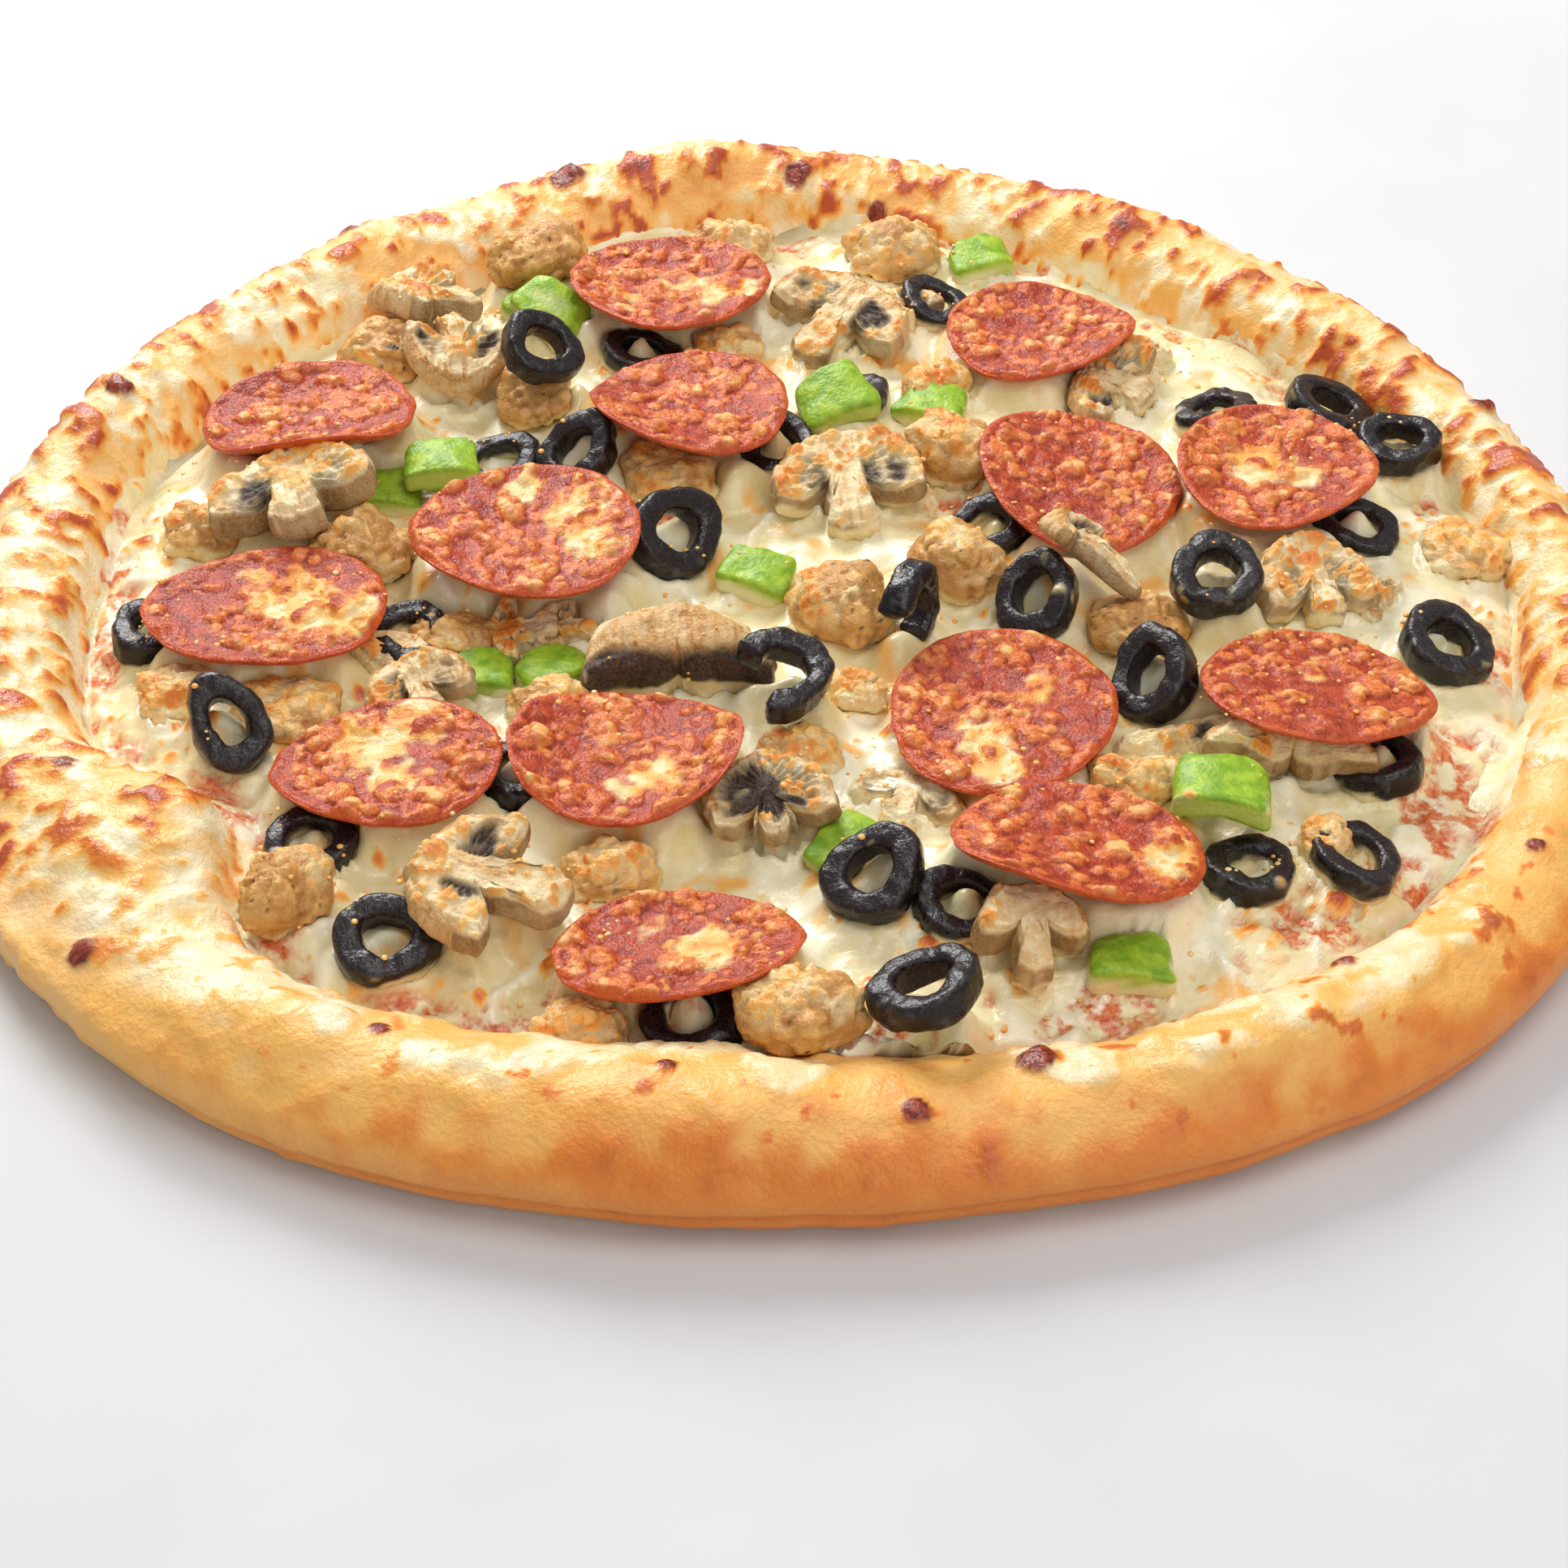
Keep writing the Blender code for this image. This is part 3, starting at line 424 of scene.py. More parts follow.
class Sheet:
    """The nodes of one material, round a Principled shader."""

    def __init__(self, name):
        self.material = bpy.data.materials.new(name)
        self.material.use_nodes = True
        self.tree = self.material.node_tree
        self.shader = self.tree.nodes["Principled BSDF"]

    def node(self, kind, settings, values, output=0):
        """Add a node: its settings first, then the values or links of its sockets."""
        made = self.tree.nodes.new(kind)
        for key, value in settings.items():
            setattr(made, key, value)
        for key, value in values.items():
            self.feed(made.inputs[key], value)
        return Tone(self, made.outputs[output])

    def feed(self, socket, value):
        """Link a tone to a socket, or set the socket's own value."""
        if isinstance(value, Tone):
            self.tree.links.new(value.socket, socket)
        elif isinstance(value, tuple) and len(value) == 3 and socket.type == "RGBA":
            socket.default_value = (*value, 1.0)
        else:
            socket.default_value = value

    def mix(self, share, first, second):
        """A colour between two colours."""
        return self.node("ShaderNodeMix", {"data_type": "RGBA"}, {0: share, 6: first, 7: second}, 2)

    def blend(self, tone, low, high, first, second):
        """A colour that goes from a first tint to a second as a tone goes from low to high."""
        return self.mix(tone.step(low, high), rgb(*first), rgb(*second))

    def toast(self, colour, brown):
        """Browning laid over a colour: golden, orange, red-brown and at last nearly black."""
        for low, high, tint in TOAST:
            colour = self.mix(brown.step(low, high), colour, rgb(*tint))
        return colour

    def zones(self):
        """The four masks of the surface."""
        colour = self.node("ShaderNodeAttribute", {"attribute_name": "zones"}, {})
        split = self.node("ShaderNodeSeparateColor", {}, {0: colour})
        last = Tone(self, colour.socket.node.outputs["Alpha"])
        return [Tone(self, split.socket.node.outputs[k]) for k in range(3)] + [last]

    def place(self):
        """Object coordinates in millimetres."""
        coordinates = self.node("ShaderNodeTexCoord", {}, {}, "Object")
        return self.node("ShaderNodeVectorMath", {"operation": "SCALE"}, {0: coordinates, "Scale": 1.0 / MM})

    def grain(self, size, detail=3.0, roughness=0.55):
        """Noise from 0 to 1 with features of a size in millimetres."""
        values = {"Vector": self.place(), "Scale": 1.0 / size, "Detail": detail, "Roughness": roughness}
        return self.node("ShaderNodeTexNoise", {}, values)

    def finish(self, colour, roughness, bump, bump_height, **fixed):
        """Feed the shader: colour, roughness and a bump, and sockets that are the same all over."""
        self.feed(self.shader.inputs["Base Color"], colour)
        self.feed(self.shader.inputs["Roughness"], roughness)
        values = {"Height": bump, "Strength": 1.0, "Distance": bump_height * MM}
        self.feed(self.shader.inputs["Normal"], self.node("ShaderNodeBump", {}, values))
        for name, value in fixed.items():
            self.feed(self.shader.inputs[name.replace("_", " ")], value)
        return self.material


def dough_finish():
    """Baked dough. Zones: floury paleness, browning (low on the near wall partly painted shade), melted
    cheese film, dark blisters.
    """
    sheet = Sheet("baked_dough")
    pale, brown, film, blister = sheet.zones()
    mottle = sheet.grain(6.0, 4.0)
    fine = sheet.grain(1.0, 3.0)
    colour = sheet.blend(mottle, 0.35, 0.68, (248, 200, 130), (253, 224, 168))
    floury = sheet.blend(fine, 0.3, 0.7, (232, 200, 166), (248, 232, 206))
    colour = sheet.mix(pale, colour, floury)
    cream = sheet.blend(mottle, 0.3, 0.7, (240, 222, 168), (250, 240, 208))
    colour = sheet.mix(film, colour, cream)
    colour = sheet.toast(colour, brown + 0.10 * (fine - 0.5))
    colour = sheet.mix(blister, colour, sheet.blend(fine, 0.35, 0.65, (104, 30, 16), (158, 60, 30)))
    rough = 0.36 + 0.30 * pale - 0.08 * film + 0.12 * (fine - 0.5)
    return sheet.finish(colour, rough, fine + 0.7 * mottle, 0.35, Subsurface_Weight=0.04,
                        Subsurface_Radius=(0.004, 0.002, 0.001), Specular_IOR_Level=0.5)


def cheese_finish():
    """Melted cheese. Zones: browning, painted light (paler on the raised folds and wave crests), oily orange
    tint, sauce showing.
    """
    sheet = Sheet("melted_cheese")
    brown, pale, oily, sauce = sheet.zones()
    mottle = sheet.grain(5.0, 4.0)
    fine = sheet.grain(0.9, 3.0)
    torn = sheet.grain(3.4, 3.0, 0.60)
    colour = sheet.blend(mottle, 0.3, 0.7, (228, 213, 156), (244, 232, 190))
    # Painted light: a paler cream where the folds and waves of the melt rise.
    colour = sheet.mix(pale, colour, rgb(247, 242, 218))
    colour = sheet.mix(oily * 0.5, colour, rgb(238, 208, 136))
    stain = sheet.blend(fine, 0.3, 0.7, (202, 82, 42), (230, 148, 92))
    colour = sheet.mix(sauce * torn.step(0.40, 0.58), colour, stain)
    colour = sheet.toast(colour, brown + 0.12 * (fine - 0.5) * brown)
    rough = 0.26 + 0.18 * (fine - 0.5) + 0.12 * brown
    return sheet.finish(colour, rough, mottle + 0.3 * fine, 0.30, Subsurface_Weight=0.15,
                        Subsurface_Radius=(0.005, 0.004, 0.0022), Specular_IOR_Level=0.5)


def pepperoni_finish():
    """Baked pepperoni. Zones: cheese film, its browning, bead height (orange fat beads, with a painted
    highlight on their tips), smooth edge.
    """
    sheet = Sheet("baked_pepperoni")
    film, brown, bead, edge = sheet.zones()
    mottle = sheet.grain(2.4, 4.0, 0.65)
    fine = sheet.grain(0.6, 3.0)
    meat = sheet.blend(mottle, 0.32, 0.66, (142, 36, 14), (192, 76, 34))
    # Beads: the meat turns orange with bead height, partly browned fat and partly painted light, and the
    # highest tips get a painted highlight in pale gold.
    bead_colour_and_highlight = sheet.blend(fine, 0.3, 0.7, (206, 88, 36), (234, 136, 62))
    meat = sheet.mix(bead.step(0.05, 0.5), meat, bead_colour_and_highlight)
    meat = sheet.mix(bead.step(0.55, 1.0), meat, rgb(248, 186, 112))
    cream = sheet.blend(mottle, 0.35, 0.7, (240, 204, 134), (248, 230, 184))
    colour = sheet.mix(film, meat, sheet.toast(cream, brown))
    colour = sheet.mix(edge, colour, sheet.blend(mottle, 0.3, 0.7, (184, 62, 22), (214, 96, 38)))
    rough = 0.27 + 0.16 * (fine - 0.5) + 0.08 * film
    return sheet.finish(colour, rough, fine + 0.6 * mottle, 0.30, Specular_IOR_Level=0.42,
                        Subsurface_Weight=0.03, Subsurface_Radius=(0.003, 0.001, 0.001))


def olive_finish():
    """Black olive. Zones: cheese film and crumbs, their browning, cut face, worn skin."""
    sheet = Sheet("black_olive")
    film, brown, cut, worn = sheet.zones()
    mottle = sheet.grain(1.8, 3.0)
    fine = sheet.grain(0.5, 2.0)
    skin = sheet.blend(mottle, 0.35, 0.7, (12, 10, 10), (26, 23, 23))
    flesh = sheet.blend(fine, 0.3, 0.7, (20, 15, 17), (50, 38, 38))
    colour = sheet.mix(cut, skin, flesh)
    colour = sheet.mix(worn * 0.35, colour, rgb(104, 100, 102))
    crumb = sheet.toast(rgb(236, 222, 176), brown)
    colour = sheet.mix(film, colour, crumb)
    rough = 0.10 + 0.14 * mottle + 0.10 * cut + 0.14 * film
    return sheet.finish(colour, rough, mottle + 0.4 * fine, 0.30, Specular_IOR_Level=0.42)


def mushroom_finish():
    """Baked mushroom. Zones: cheese film, its browning, dark gills, brown skin and fibres."""
    sheet = Sheet("baked_mushroom")
    film, brown, gills, skin = sheet.zones()
    mottle = sheet.grain(3.0, 4.0)
    fine = sheet.grain(0.6, 4.0)
    colour = sheet.blend(mottle, 0.3, 0.7, (222, 182, 124), (246, 226, 180))
    tan = sheet.blend(fine, 0.3, 0.7, (174, 114, 52), (226, 174, 98))
    colour = sheet.mix(skin, colour, tan)
    colour = sheet.mix(gills, colour, sheet.blend(fine, 0.35, 0.7, (42, 29, 22), (98, 68, 46)))
    cream = sheet.blend(mottle, 0.3, 0.7, (236, 212, 150), (246, 232, 194))
    colour = sheet.mix(film, colour, sheet.toast(cream, brown))
    rough = 0.50 + 0.2 * (fine - 0.5) - 0.18 * film
    return sheet.finish(colour, rough, fine + 0.5 * mottle, 0.35, Subsurface_Weight=0.06,
                        Subsurface_Radius=(0.003, 0.002, 0.001))


def sausage_finish():
    """Browned sausage. Zones: cheese film, its browning, painted shade in the crevices and pits, dark specks.
    """
    sheet = Sheet("browned_sausage")
    film, brown, painted_crevice_shade, speck = sheet.zones()
    mottle = sheet.grain(3.2, 4.0)
    fine = sheet.grain(0.6, 3.0)
    colour = sheet.blend(mottle, 0.3, 0.7, (208, 146, 72), (238, 188, 110))
    # Painted shade: a darker brown laid in the crevices between the knobs and in the pits.
    colour = sheet.mix(painted_crevice_shade * 0.55, colour, rgb(166, 104, 46))
    colour = sheet.mix(speck, colour, rgb(62, 40, 26))
    cream = sheet.blend(mottle, 0.3, 0.7, (236, 208, 140), (246, 230, 184))
    colour = sheet.mix(film, colour, sheet.toast(cream, brown))
    rough = 0.34 + 0.2 * (fine - 0.5)
    return sheet.finish(colour, rough, fine + 0.6 * mottle, 0.35, Subsurface_Weight=0.05,
                        Subsurface_Radius=(0.003, 0.002, 0.001))


def pepper_finish():
    """Green pepper. Zones: cheese film, its browning, pale cut edge, skin."""
    sheet = Sheet("green_pepper")
    film, brown, edge, skin = sheet.zones()
    mottle = sheet.grain(3.0, 3.0)
    fine = sheet.grain(0.8, 2.0)
    colour = sheet.blend(mottle, 0.3, 0.7, (116, 160, 26), (166, 196, 52))
    colour = sheet.mix(edge * 0.75, colour, rgb(190, 208, 104))
    colour = sheet.mix(film, colour, sheet.toast(rgb(232, 228, 180), brown))
    rough = 0.32 + 0.18 * fine
    return sheet.finish(colour, rough, mottle + 0.6 * fine, 0.35, Subsurface_Weight=0.05,
                        Subsurface_Radius=(0.002, 0.004, 0.001), Specular_IOR_Level=0.4)


def add_piece(name, points, faces, zones, material, slot, *nodes):
    """A finished piece: points in millimetres, faces, masks; it stands for the CAD nodes named."""
    mesh = bpy.data.meshes.new(name)
    mesh.from_pydata((points - SHIFT) * MM, [], faces)
    mesh.attributes.new("zones", "FLOAT_COLOR", "POINT")
    mesh.attributes["zones"].data.foreach_set("color", np.clip(zones, 0, 1).astype(np.float32).ravel())
    mesh.materials.append(material)
    mesh.shade_smooth()
    obj = bpy.data.objects.new(name, mesh)
    bpy.context.scene.collection.objects.link(obj)
    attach(obj, "root")
    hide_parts(*nodes)


def disc_grid(count):
    """A square grid pressed into the unit disc, x = u sqrt(1 - v²/2), y = v sqrt(1 - u²/2)."""
    steps = np.linspace(-1.0, 1.0, count + 1)
    u, v = (grid.ravel() for grid in np.meshgrid(steps, steps, indexing="ij"))
    index = np.arange((count + 1) ** 2).reshape(count + 1, count + 1)
    faces = np.stack([index[:-1, :-1], index[1:, :-1], index[1:, 1:], index[:-1, 1:]], axis=-1).reshape(-1, 4)
    border = np.concatenate([index[:-1, 0], index[-1, :-1], index[:0:-1, -1], index[0, :0:-1]])
    return u * np.sqrt(1 - v * v / 2), v * np.sqrt(1 - u * u / 2), faces, border


def band(first, second):
    """Quads between two rings of point numbers."""
    return np.stack([first, np.roll(first, -1), np.roll(second, -1), second], axis=1)


def fan(hub, first, second):
    """Triangles from one point number to each pair of a first and a second one."""
    return np.stack([np.full(len(first), hub), first, second], axis=1).tolist()


def barrel(index):
    """Faces of rings one over the other, closed to a low and a high pole numbered after them."""
    faces = np.concatenate([band(index[k], index[k + 1]) for k in range(len(index) - 1)]).tolist()
    faces += fan(index.size, np.roll(index[0], -1), index[0])
    return faces + fan(index.size + 1, index[-1], np.roll(index[-1], -1))


def close_below(points, faces, border, rings, centre):
    """Close a sheet under its border: rings of points one below the other, then a centre point."""
    count = len(border)
    start = len(points)
    everything = np.concatenate([points] + list(rings) + [centre[None, :]])
    bands = []
    upper = border
    for k in range(len(rings)):
        lower = start + k * count + np.arange(count)
        bands.append(band(lower, upper))
        upper = lower
    last = fan(len(everything) - 1, np.roll(upper, -1), upper)
    return everything, faces.tolist() + np.concatenate(bands).tolist() + last


def ball_grid(around, along):
    """Angles of a ball's points, ring by ring with a point at each pole, and its faces."""
    rings = np.linspace(-math.pi / 2, math.pi / 2, along + 1)[1:-1]
    turns = np.linspace(0.0, 2.0 * math.pi, around, endpoint=False)
    rise, turn = (grid.ravel() for grid in np.meshgrid(rings, turns, indexing="ij"))
    faces = barrel(np.arange(len(rise)).reshape(len(rings), around))
    rise = np.concatenate([rise, [-math.pi / 2, math.pi / 2]])
    turn = np.concatenate([turn, [0.0, 0.0]])
    return rise, turn, faces


def ball_points(rise, turn):
    """Points of a ball of radius 1 from their angles."""
    return np.stack([np.cos(rise) * np.cos(turn), np.cos(rise) * np.sin(turn), np.sin(rise)], axis=1)


def raised(points, height):
    """Points lifted, each by its own height."""
    return points + np.array([0.0, 0.0, 1.0]) * height[:, None]


def turned(points, tilt_x, tilt_y, turn):
    """Points turned in degrees: in their own plane first, then about the x and y axes."""
    a, b, c = (math.radians(value) for value in (tilt_x, tilt_y, turn))
    about_z = np.array([[math.cos(c), -math.sin(c), 0], [math.sin(c), math.cos(c), 0], [0, 0, 1]])
    about_x = np.array([[1, 0, 0], [0, math.cos(a), -math.sin(a)], [0, math.sin(a), math.cos(a)]])
    about_y = np.array([[math.cos(b), 0, math.sin(b)], [0, 1, 0], [-math.sin(b), 0, math.cos(b)]])
    return points @ (about_y @ about_x @ about_z).T


def solid_faces(node):
    """Corners of a CAD node's triangles in millimetres, in the frame of the places."""
    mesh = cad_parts[node].data
    mesh.calc_loop_triangles()
    points = np.empty(len(mesh.vertices) * 3)
    mesh.vertices.foreach_get("co", points)
    corners = np.empty(len(mesh.loop_triangles) * 3, dtype=np.int32)
    mesh.loop_triangles.foreach_get("vertices", corners)
    return (points.reshape(-1, 3) / MM + SHIFT)[corners.reshape(-1, 3)]


def face_normals(corners):
    """Normals of triangles as cross products of two sides, and their lengths."""
    normals = np.cross(corners[:, 1] - corners[:, 0], corners[:, 2] - corners[:, 0])
    return normals, np.linalg.norm(normals, axis=1) + 1e-12


def way_up(node, tilt_x, tilt_y):
    """The tilt of a CAD node: the mean normal of its broad faces, found from the tilt it was given."""
    normals, lengths = face_normals(solid_faces(node))
    up = turned(np.array([[0.0, 0.0, 1.0]]), tilt_x, tilt_y, 0)[0]
    for _ in range(12):
        facing = np.abs(normals @ up) / lengths > 0.82
        signs = np.sign(normals[facing] @ up)
        up = (normals[facing] * signs[:, None]).sum(axis=0)
        up = up / np.linalg.norm(up)
    return math.degrees(-math.asin(up[1])), math.degrees(math.atan2(up[0], up[2]))


def stood(points, node, tilt, turn):
    """Points turned as the CAD node lies, with the middle of their box on its middle."""
    points = turned(points, *tilt, turn)
    return points + box_middle(solid_faces(node).reshape(-1, 3)) - box_middle(points)


def crumbs(points, seed, amount):
    """Melted cheese and crumbs on a topping: their mask, browning and height."""
    bead = np.maximum(beads(points, 3.6, 0.66, seed), 0.8 * beads(points, 2.2, 0.6, seed + 1))
    where = smooth(0.80 - amount, 0.92 - amount, noise(points, 8.0, seed + 3, 3))
    mask = np.clip(where * (0.45 + smooth(0.05, 0.35, bead)), 0, 1)
    brown = np.clip(0.14 + 0.34 * bead + 0.7 * (noise(points, 4.0, seed + 7, 2) - 0.5), 0, 0.7)
    return mask, brown * mask, (0.35 + bead) * where


def rim_rings():
    """The CAD dough's rings as functions of the angle, from the underside to the bed."""
    angle = np.linspace(0.0, 2.0 * math.pi, DOUGH_AROUND, endpoint=False)
    outer = RADIUS * outline_factor(angle)
    inner = bed_edge(angle)
    rings = []
    for inward, height in WALL:
        level = height + (0.5 * np.sin(9 * angle) if height > 2.0 else 0.0)
        rings.append(round_axis(angle, outer - inward, level))
    radii = [inner + (outer - inner) * share for share in RIM_SHARES]
    radii += [inner * share for share in BED_SHARES]
    for radius in radii:
        ring = round_axis(angle, radius, 0.0)
        ring[:, 2] = rim_top(ring[:, 0], ring[:, 1])
        rings.append(ring)
    return np.stack(rings)


def crust():
    """The dough: a smooth curve through the solid's rings at every angle, with skin relief."""
    rings = rim_rings()
    spans = len(rings) - 1
    rows = []
    for k in range(spans):
        before, here = rings[max(k - 1, 0)], rings[k]
        there, after = rings[k + 1], rings[min(k + 2, spans)]
        for t in np.arange(DOUGH_STEPS) / DOUGH_STEPS:
            # Cubic that passes through its two middle rings of four
            rise = (there - before) * t + (2 * before - 5 * here + 4 * there - after) * t ** 2
            rows.append(0.5 * (2 * here + rise + (3 * here - before - 3 * there + after) * t ** 3))
    rows.append(rings[-1])
    grid = np.stack(rows)
    along = np.gradient(grid, axis=0)
    around = np.roll(grid, -1, axis=1) - np.roll(grid, 1, axis=1)
    normals = np.cross(around, along)
    normals /= np.linalg.norm(normals, axis=2, keepdims=True) + 1e-9
    shape = grid.shape[:2]
    points = grid.reshape(-1, 3)
    normals = normals.reshape(-1, 3)
    turn = np.degrees(np.arctan2(points[:, 1], points[:, 0])) % 360
    radius = np.hypot(points[:, 0], points[:, 1])
    inner = bed_edge(np.radians(turn))
    outer = RADIUS * outline_factor(np.radians(turn))
    share = (radius - inner) / (outer - inner)
    # Rings counted from the underside: 1 to 4 are the wall, and what follows is the top
    side = np.repeat(np.arange(shape[0]), shape[1]) / DOUGH_STEPS
    upper = smooth(3.0, 5.0, side)

    def towards(degrees, width):
        return np.exp(-((((turn - degrees + 180) % 360) - 180) / width) ** 2)

    left = np.clip(towards(165, 40) + 0.9 * towards(205, 24), 0, 1)
    far = towards(92, 40)
    right = np.clip(towards(40, 28) + towards(5, 26), 0, 1)
    near = np.clip(towards(270, 48) + 0.8 * towards(315, 26), 0, 1)
    # Spots drawn out along the radius: noise on a place squeezed in that direction
    stretched = np.stack([radius * 0.75, np.radians(turn) * 140.0, points[:, 2] * 0.8], axis=1)
    streak = noise(stretched, 2.8, 21, 2)
    patch = noise(points, 13.0, 31, 3)
    blotch = noise(points, 5.0, 41, 3)
    dapple = 0.5 * streak + 0.5 * blotch
    crest = np.exp(-((share - 0.48) / 0.36) ** 2)
    busy = np.clip(0.85 * left + 0.9 * far + 1.0 * right + 0.16, 0, 1)
    cover = dapple + 0.06 * (busy - 0.5) + 0.05 * (crest - 0.6)
    spots = smooth(0.585, 0.66, cover) * busy
    fleck = smooth(0.70, 0.78, noise(points, 3.4, 43, 2)) * near * upper
    streaks = smooth(0.50, 0.62, noise(points * [1, 1, 0.5], 4.0, 44, 3))
    streaks *= np.exp(-((share - 0.10) / 0.10) ** 2) * np.clip(near + 0.5 * right, 0, 1)
    halo = smooth(0.46, 0.58, cover) * busy
    melt = 0.85 * left + 0.5 * far + 0.75 * right + 0.55 * near + 0.9 * smooth(0.8, 0.3, share)
    film = smooth(0.44, 0.56, patch + 0.25 * (blotch - 0.5)) * np.clip(melt, 0, 1)
    film = np.maximum(film, smooth(0.16, 0.02, share + 0.25 * (blotch - 0.5)))
    film *= upper * smooth(0.95, 0.7, share + 0.12 * near)
    wall = smooth(0.60, 1.0, share) * smooth(6.5, 3.0, side)
    floury = np.clip(0.75 * left + 0.7 * right + 0.65 * far, 0, 1)
    floury *= smooth(0.55, 0.9, share + 0.3 * (patch - 0.5))
    pale = np.clip(floury + 0.8 * smooth(1.2, 0.3, side), 0, 1)
    base = 0.12 + 0.16 * near + 0.30 * far * smooth(0.8, 0.3, share) + 0.05 * left + 0.4 * (patch - 0.45)
    base += near * upper * (0.14 * smooth(0.30, 0.80, blotch) + 0.10 * smooth(0.3, 0.95, share))
    base += wall * (0.14 * near + 0.08 - 0.3 * (patch - 0.45)) * smooth(0.2, 1.2, side)
    # Near wall: a dark seam line 5.5 mm up, pressed in, and browner below it where the wall tucks in under
    # its widest place; partly baked colour, partly painted shade.
    level = points[:, 2] - 5.5 - 0.6 * np.sin(np.radians(turn) * 4)
    seam = np.exp(-(level / 0.9) ** 2) * (side < 3.5)
    base += 0.12 * seam * near + 0.06 * smooth(5.5, 3.0, points[:, 2]) * near * (side < 3.5)
    base *= 1 - 0.75 * film
    baked = 0.36 * halo * (1 - 0.4 * film) + 0.42 * spots + 0.2 * smooth(0.68, 0.78, cover) * busy
    baked = np.maximum(baked, 0.66 * np.maximum(fleck, streaks))
    brown = np.maximum(base, np.clip(baked, 0, 1) * upper)
    brown = np.clip(brown + 0.12 * (blotch - 0.5), 0, 1) * (1 - 0.6 * pale * (1 - spots))
    bead = beads(points, 4.4, 0.62, 51) * film
    wrinkle = noise(stretched, 7.0, 61, 2) - 0.5
    inside = smooth(-0.05, 0.15, share)
    relief = 1.6 * (patch - 0.5) + 0.9 * wrinkle * upper + 0.7 * bead + 0.6 * spots + 0.35 * halo
    relief += 0.8 * (blotch - 0.5) * upper + 0.3 * film
    relief = relief * inside - 0.7 * seam * near
    relief *= smooth(0.4, 1.6, side)
    blister = np.zeros(len(points))
    for x, y, size, height in BLISTERS:
        reach = np.hypot(points[:, 0] - x, points[:, 1] - y) / size
        reach = reach + 0.45 * (noise(points, 3.0, 65, 2) - 0.5)
        dome = np.sqrt(np.clip(1 - reach ** 2, 0, 1)) * upper
        relief += height * dome
        blister = np.maximum(blister, smooth(0.1, 0.6, dome))
    points = points + normals * relief[:, None]
    points[:, 2] = np.maximum(points[:, 2], 0.0)
    zones = np.stack([pale, brown, film, blister], axis=1)
    faces = barrel(np.arange(len(points)).reshape(shape))
    points = np.concatenate([points, [[0.0, 0.0, 0.0], [0.0, 0.0, BED_HEIGHT]]])
    zones = np.concatenate([zones, [[1, 0, 0, 0], [0, 0, 0, 0]]])
    add_piece("dough_rim", points, faces, zones, dough_finish(), "dough", "crust")


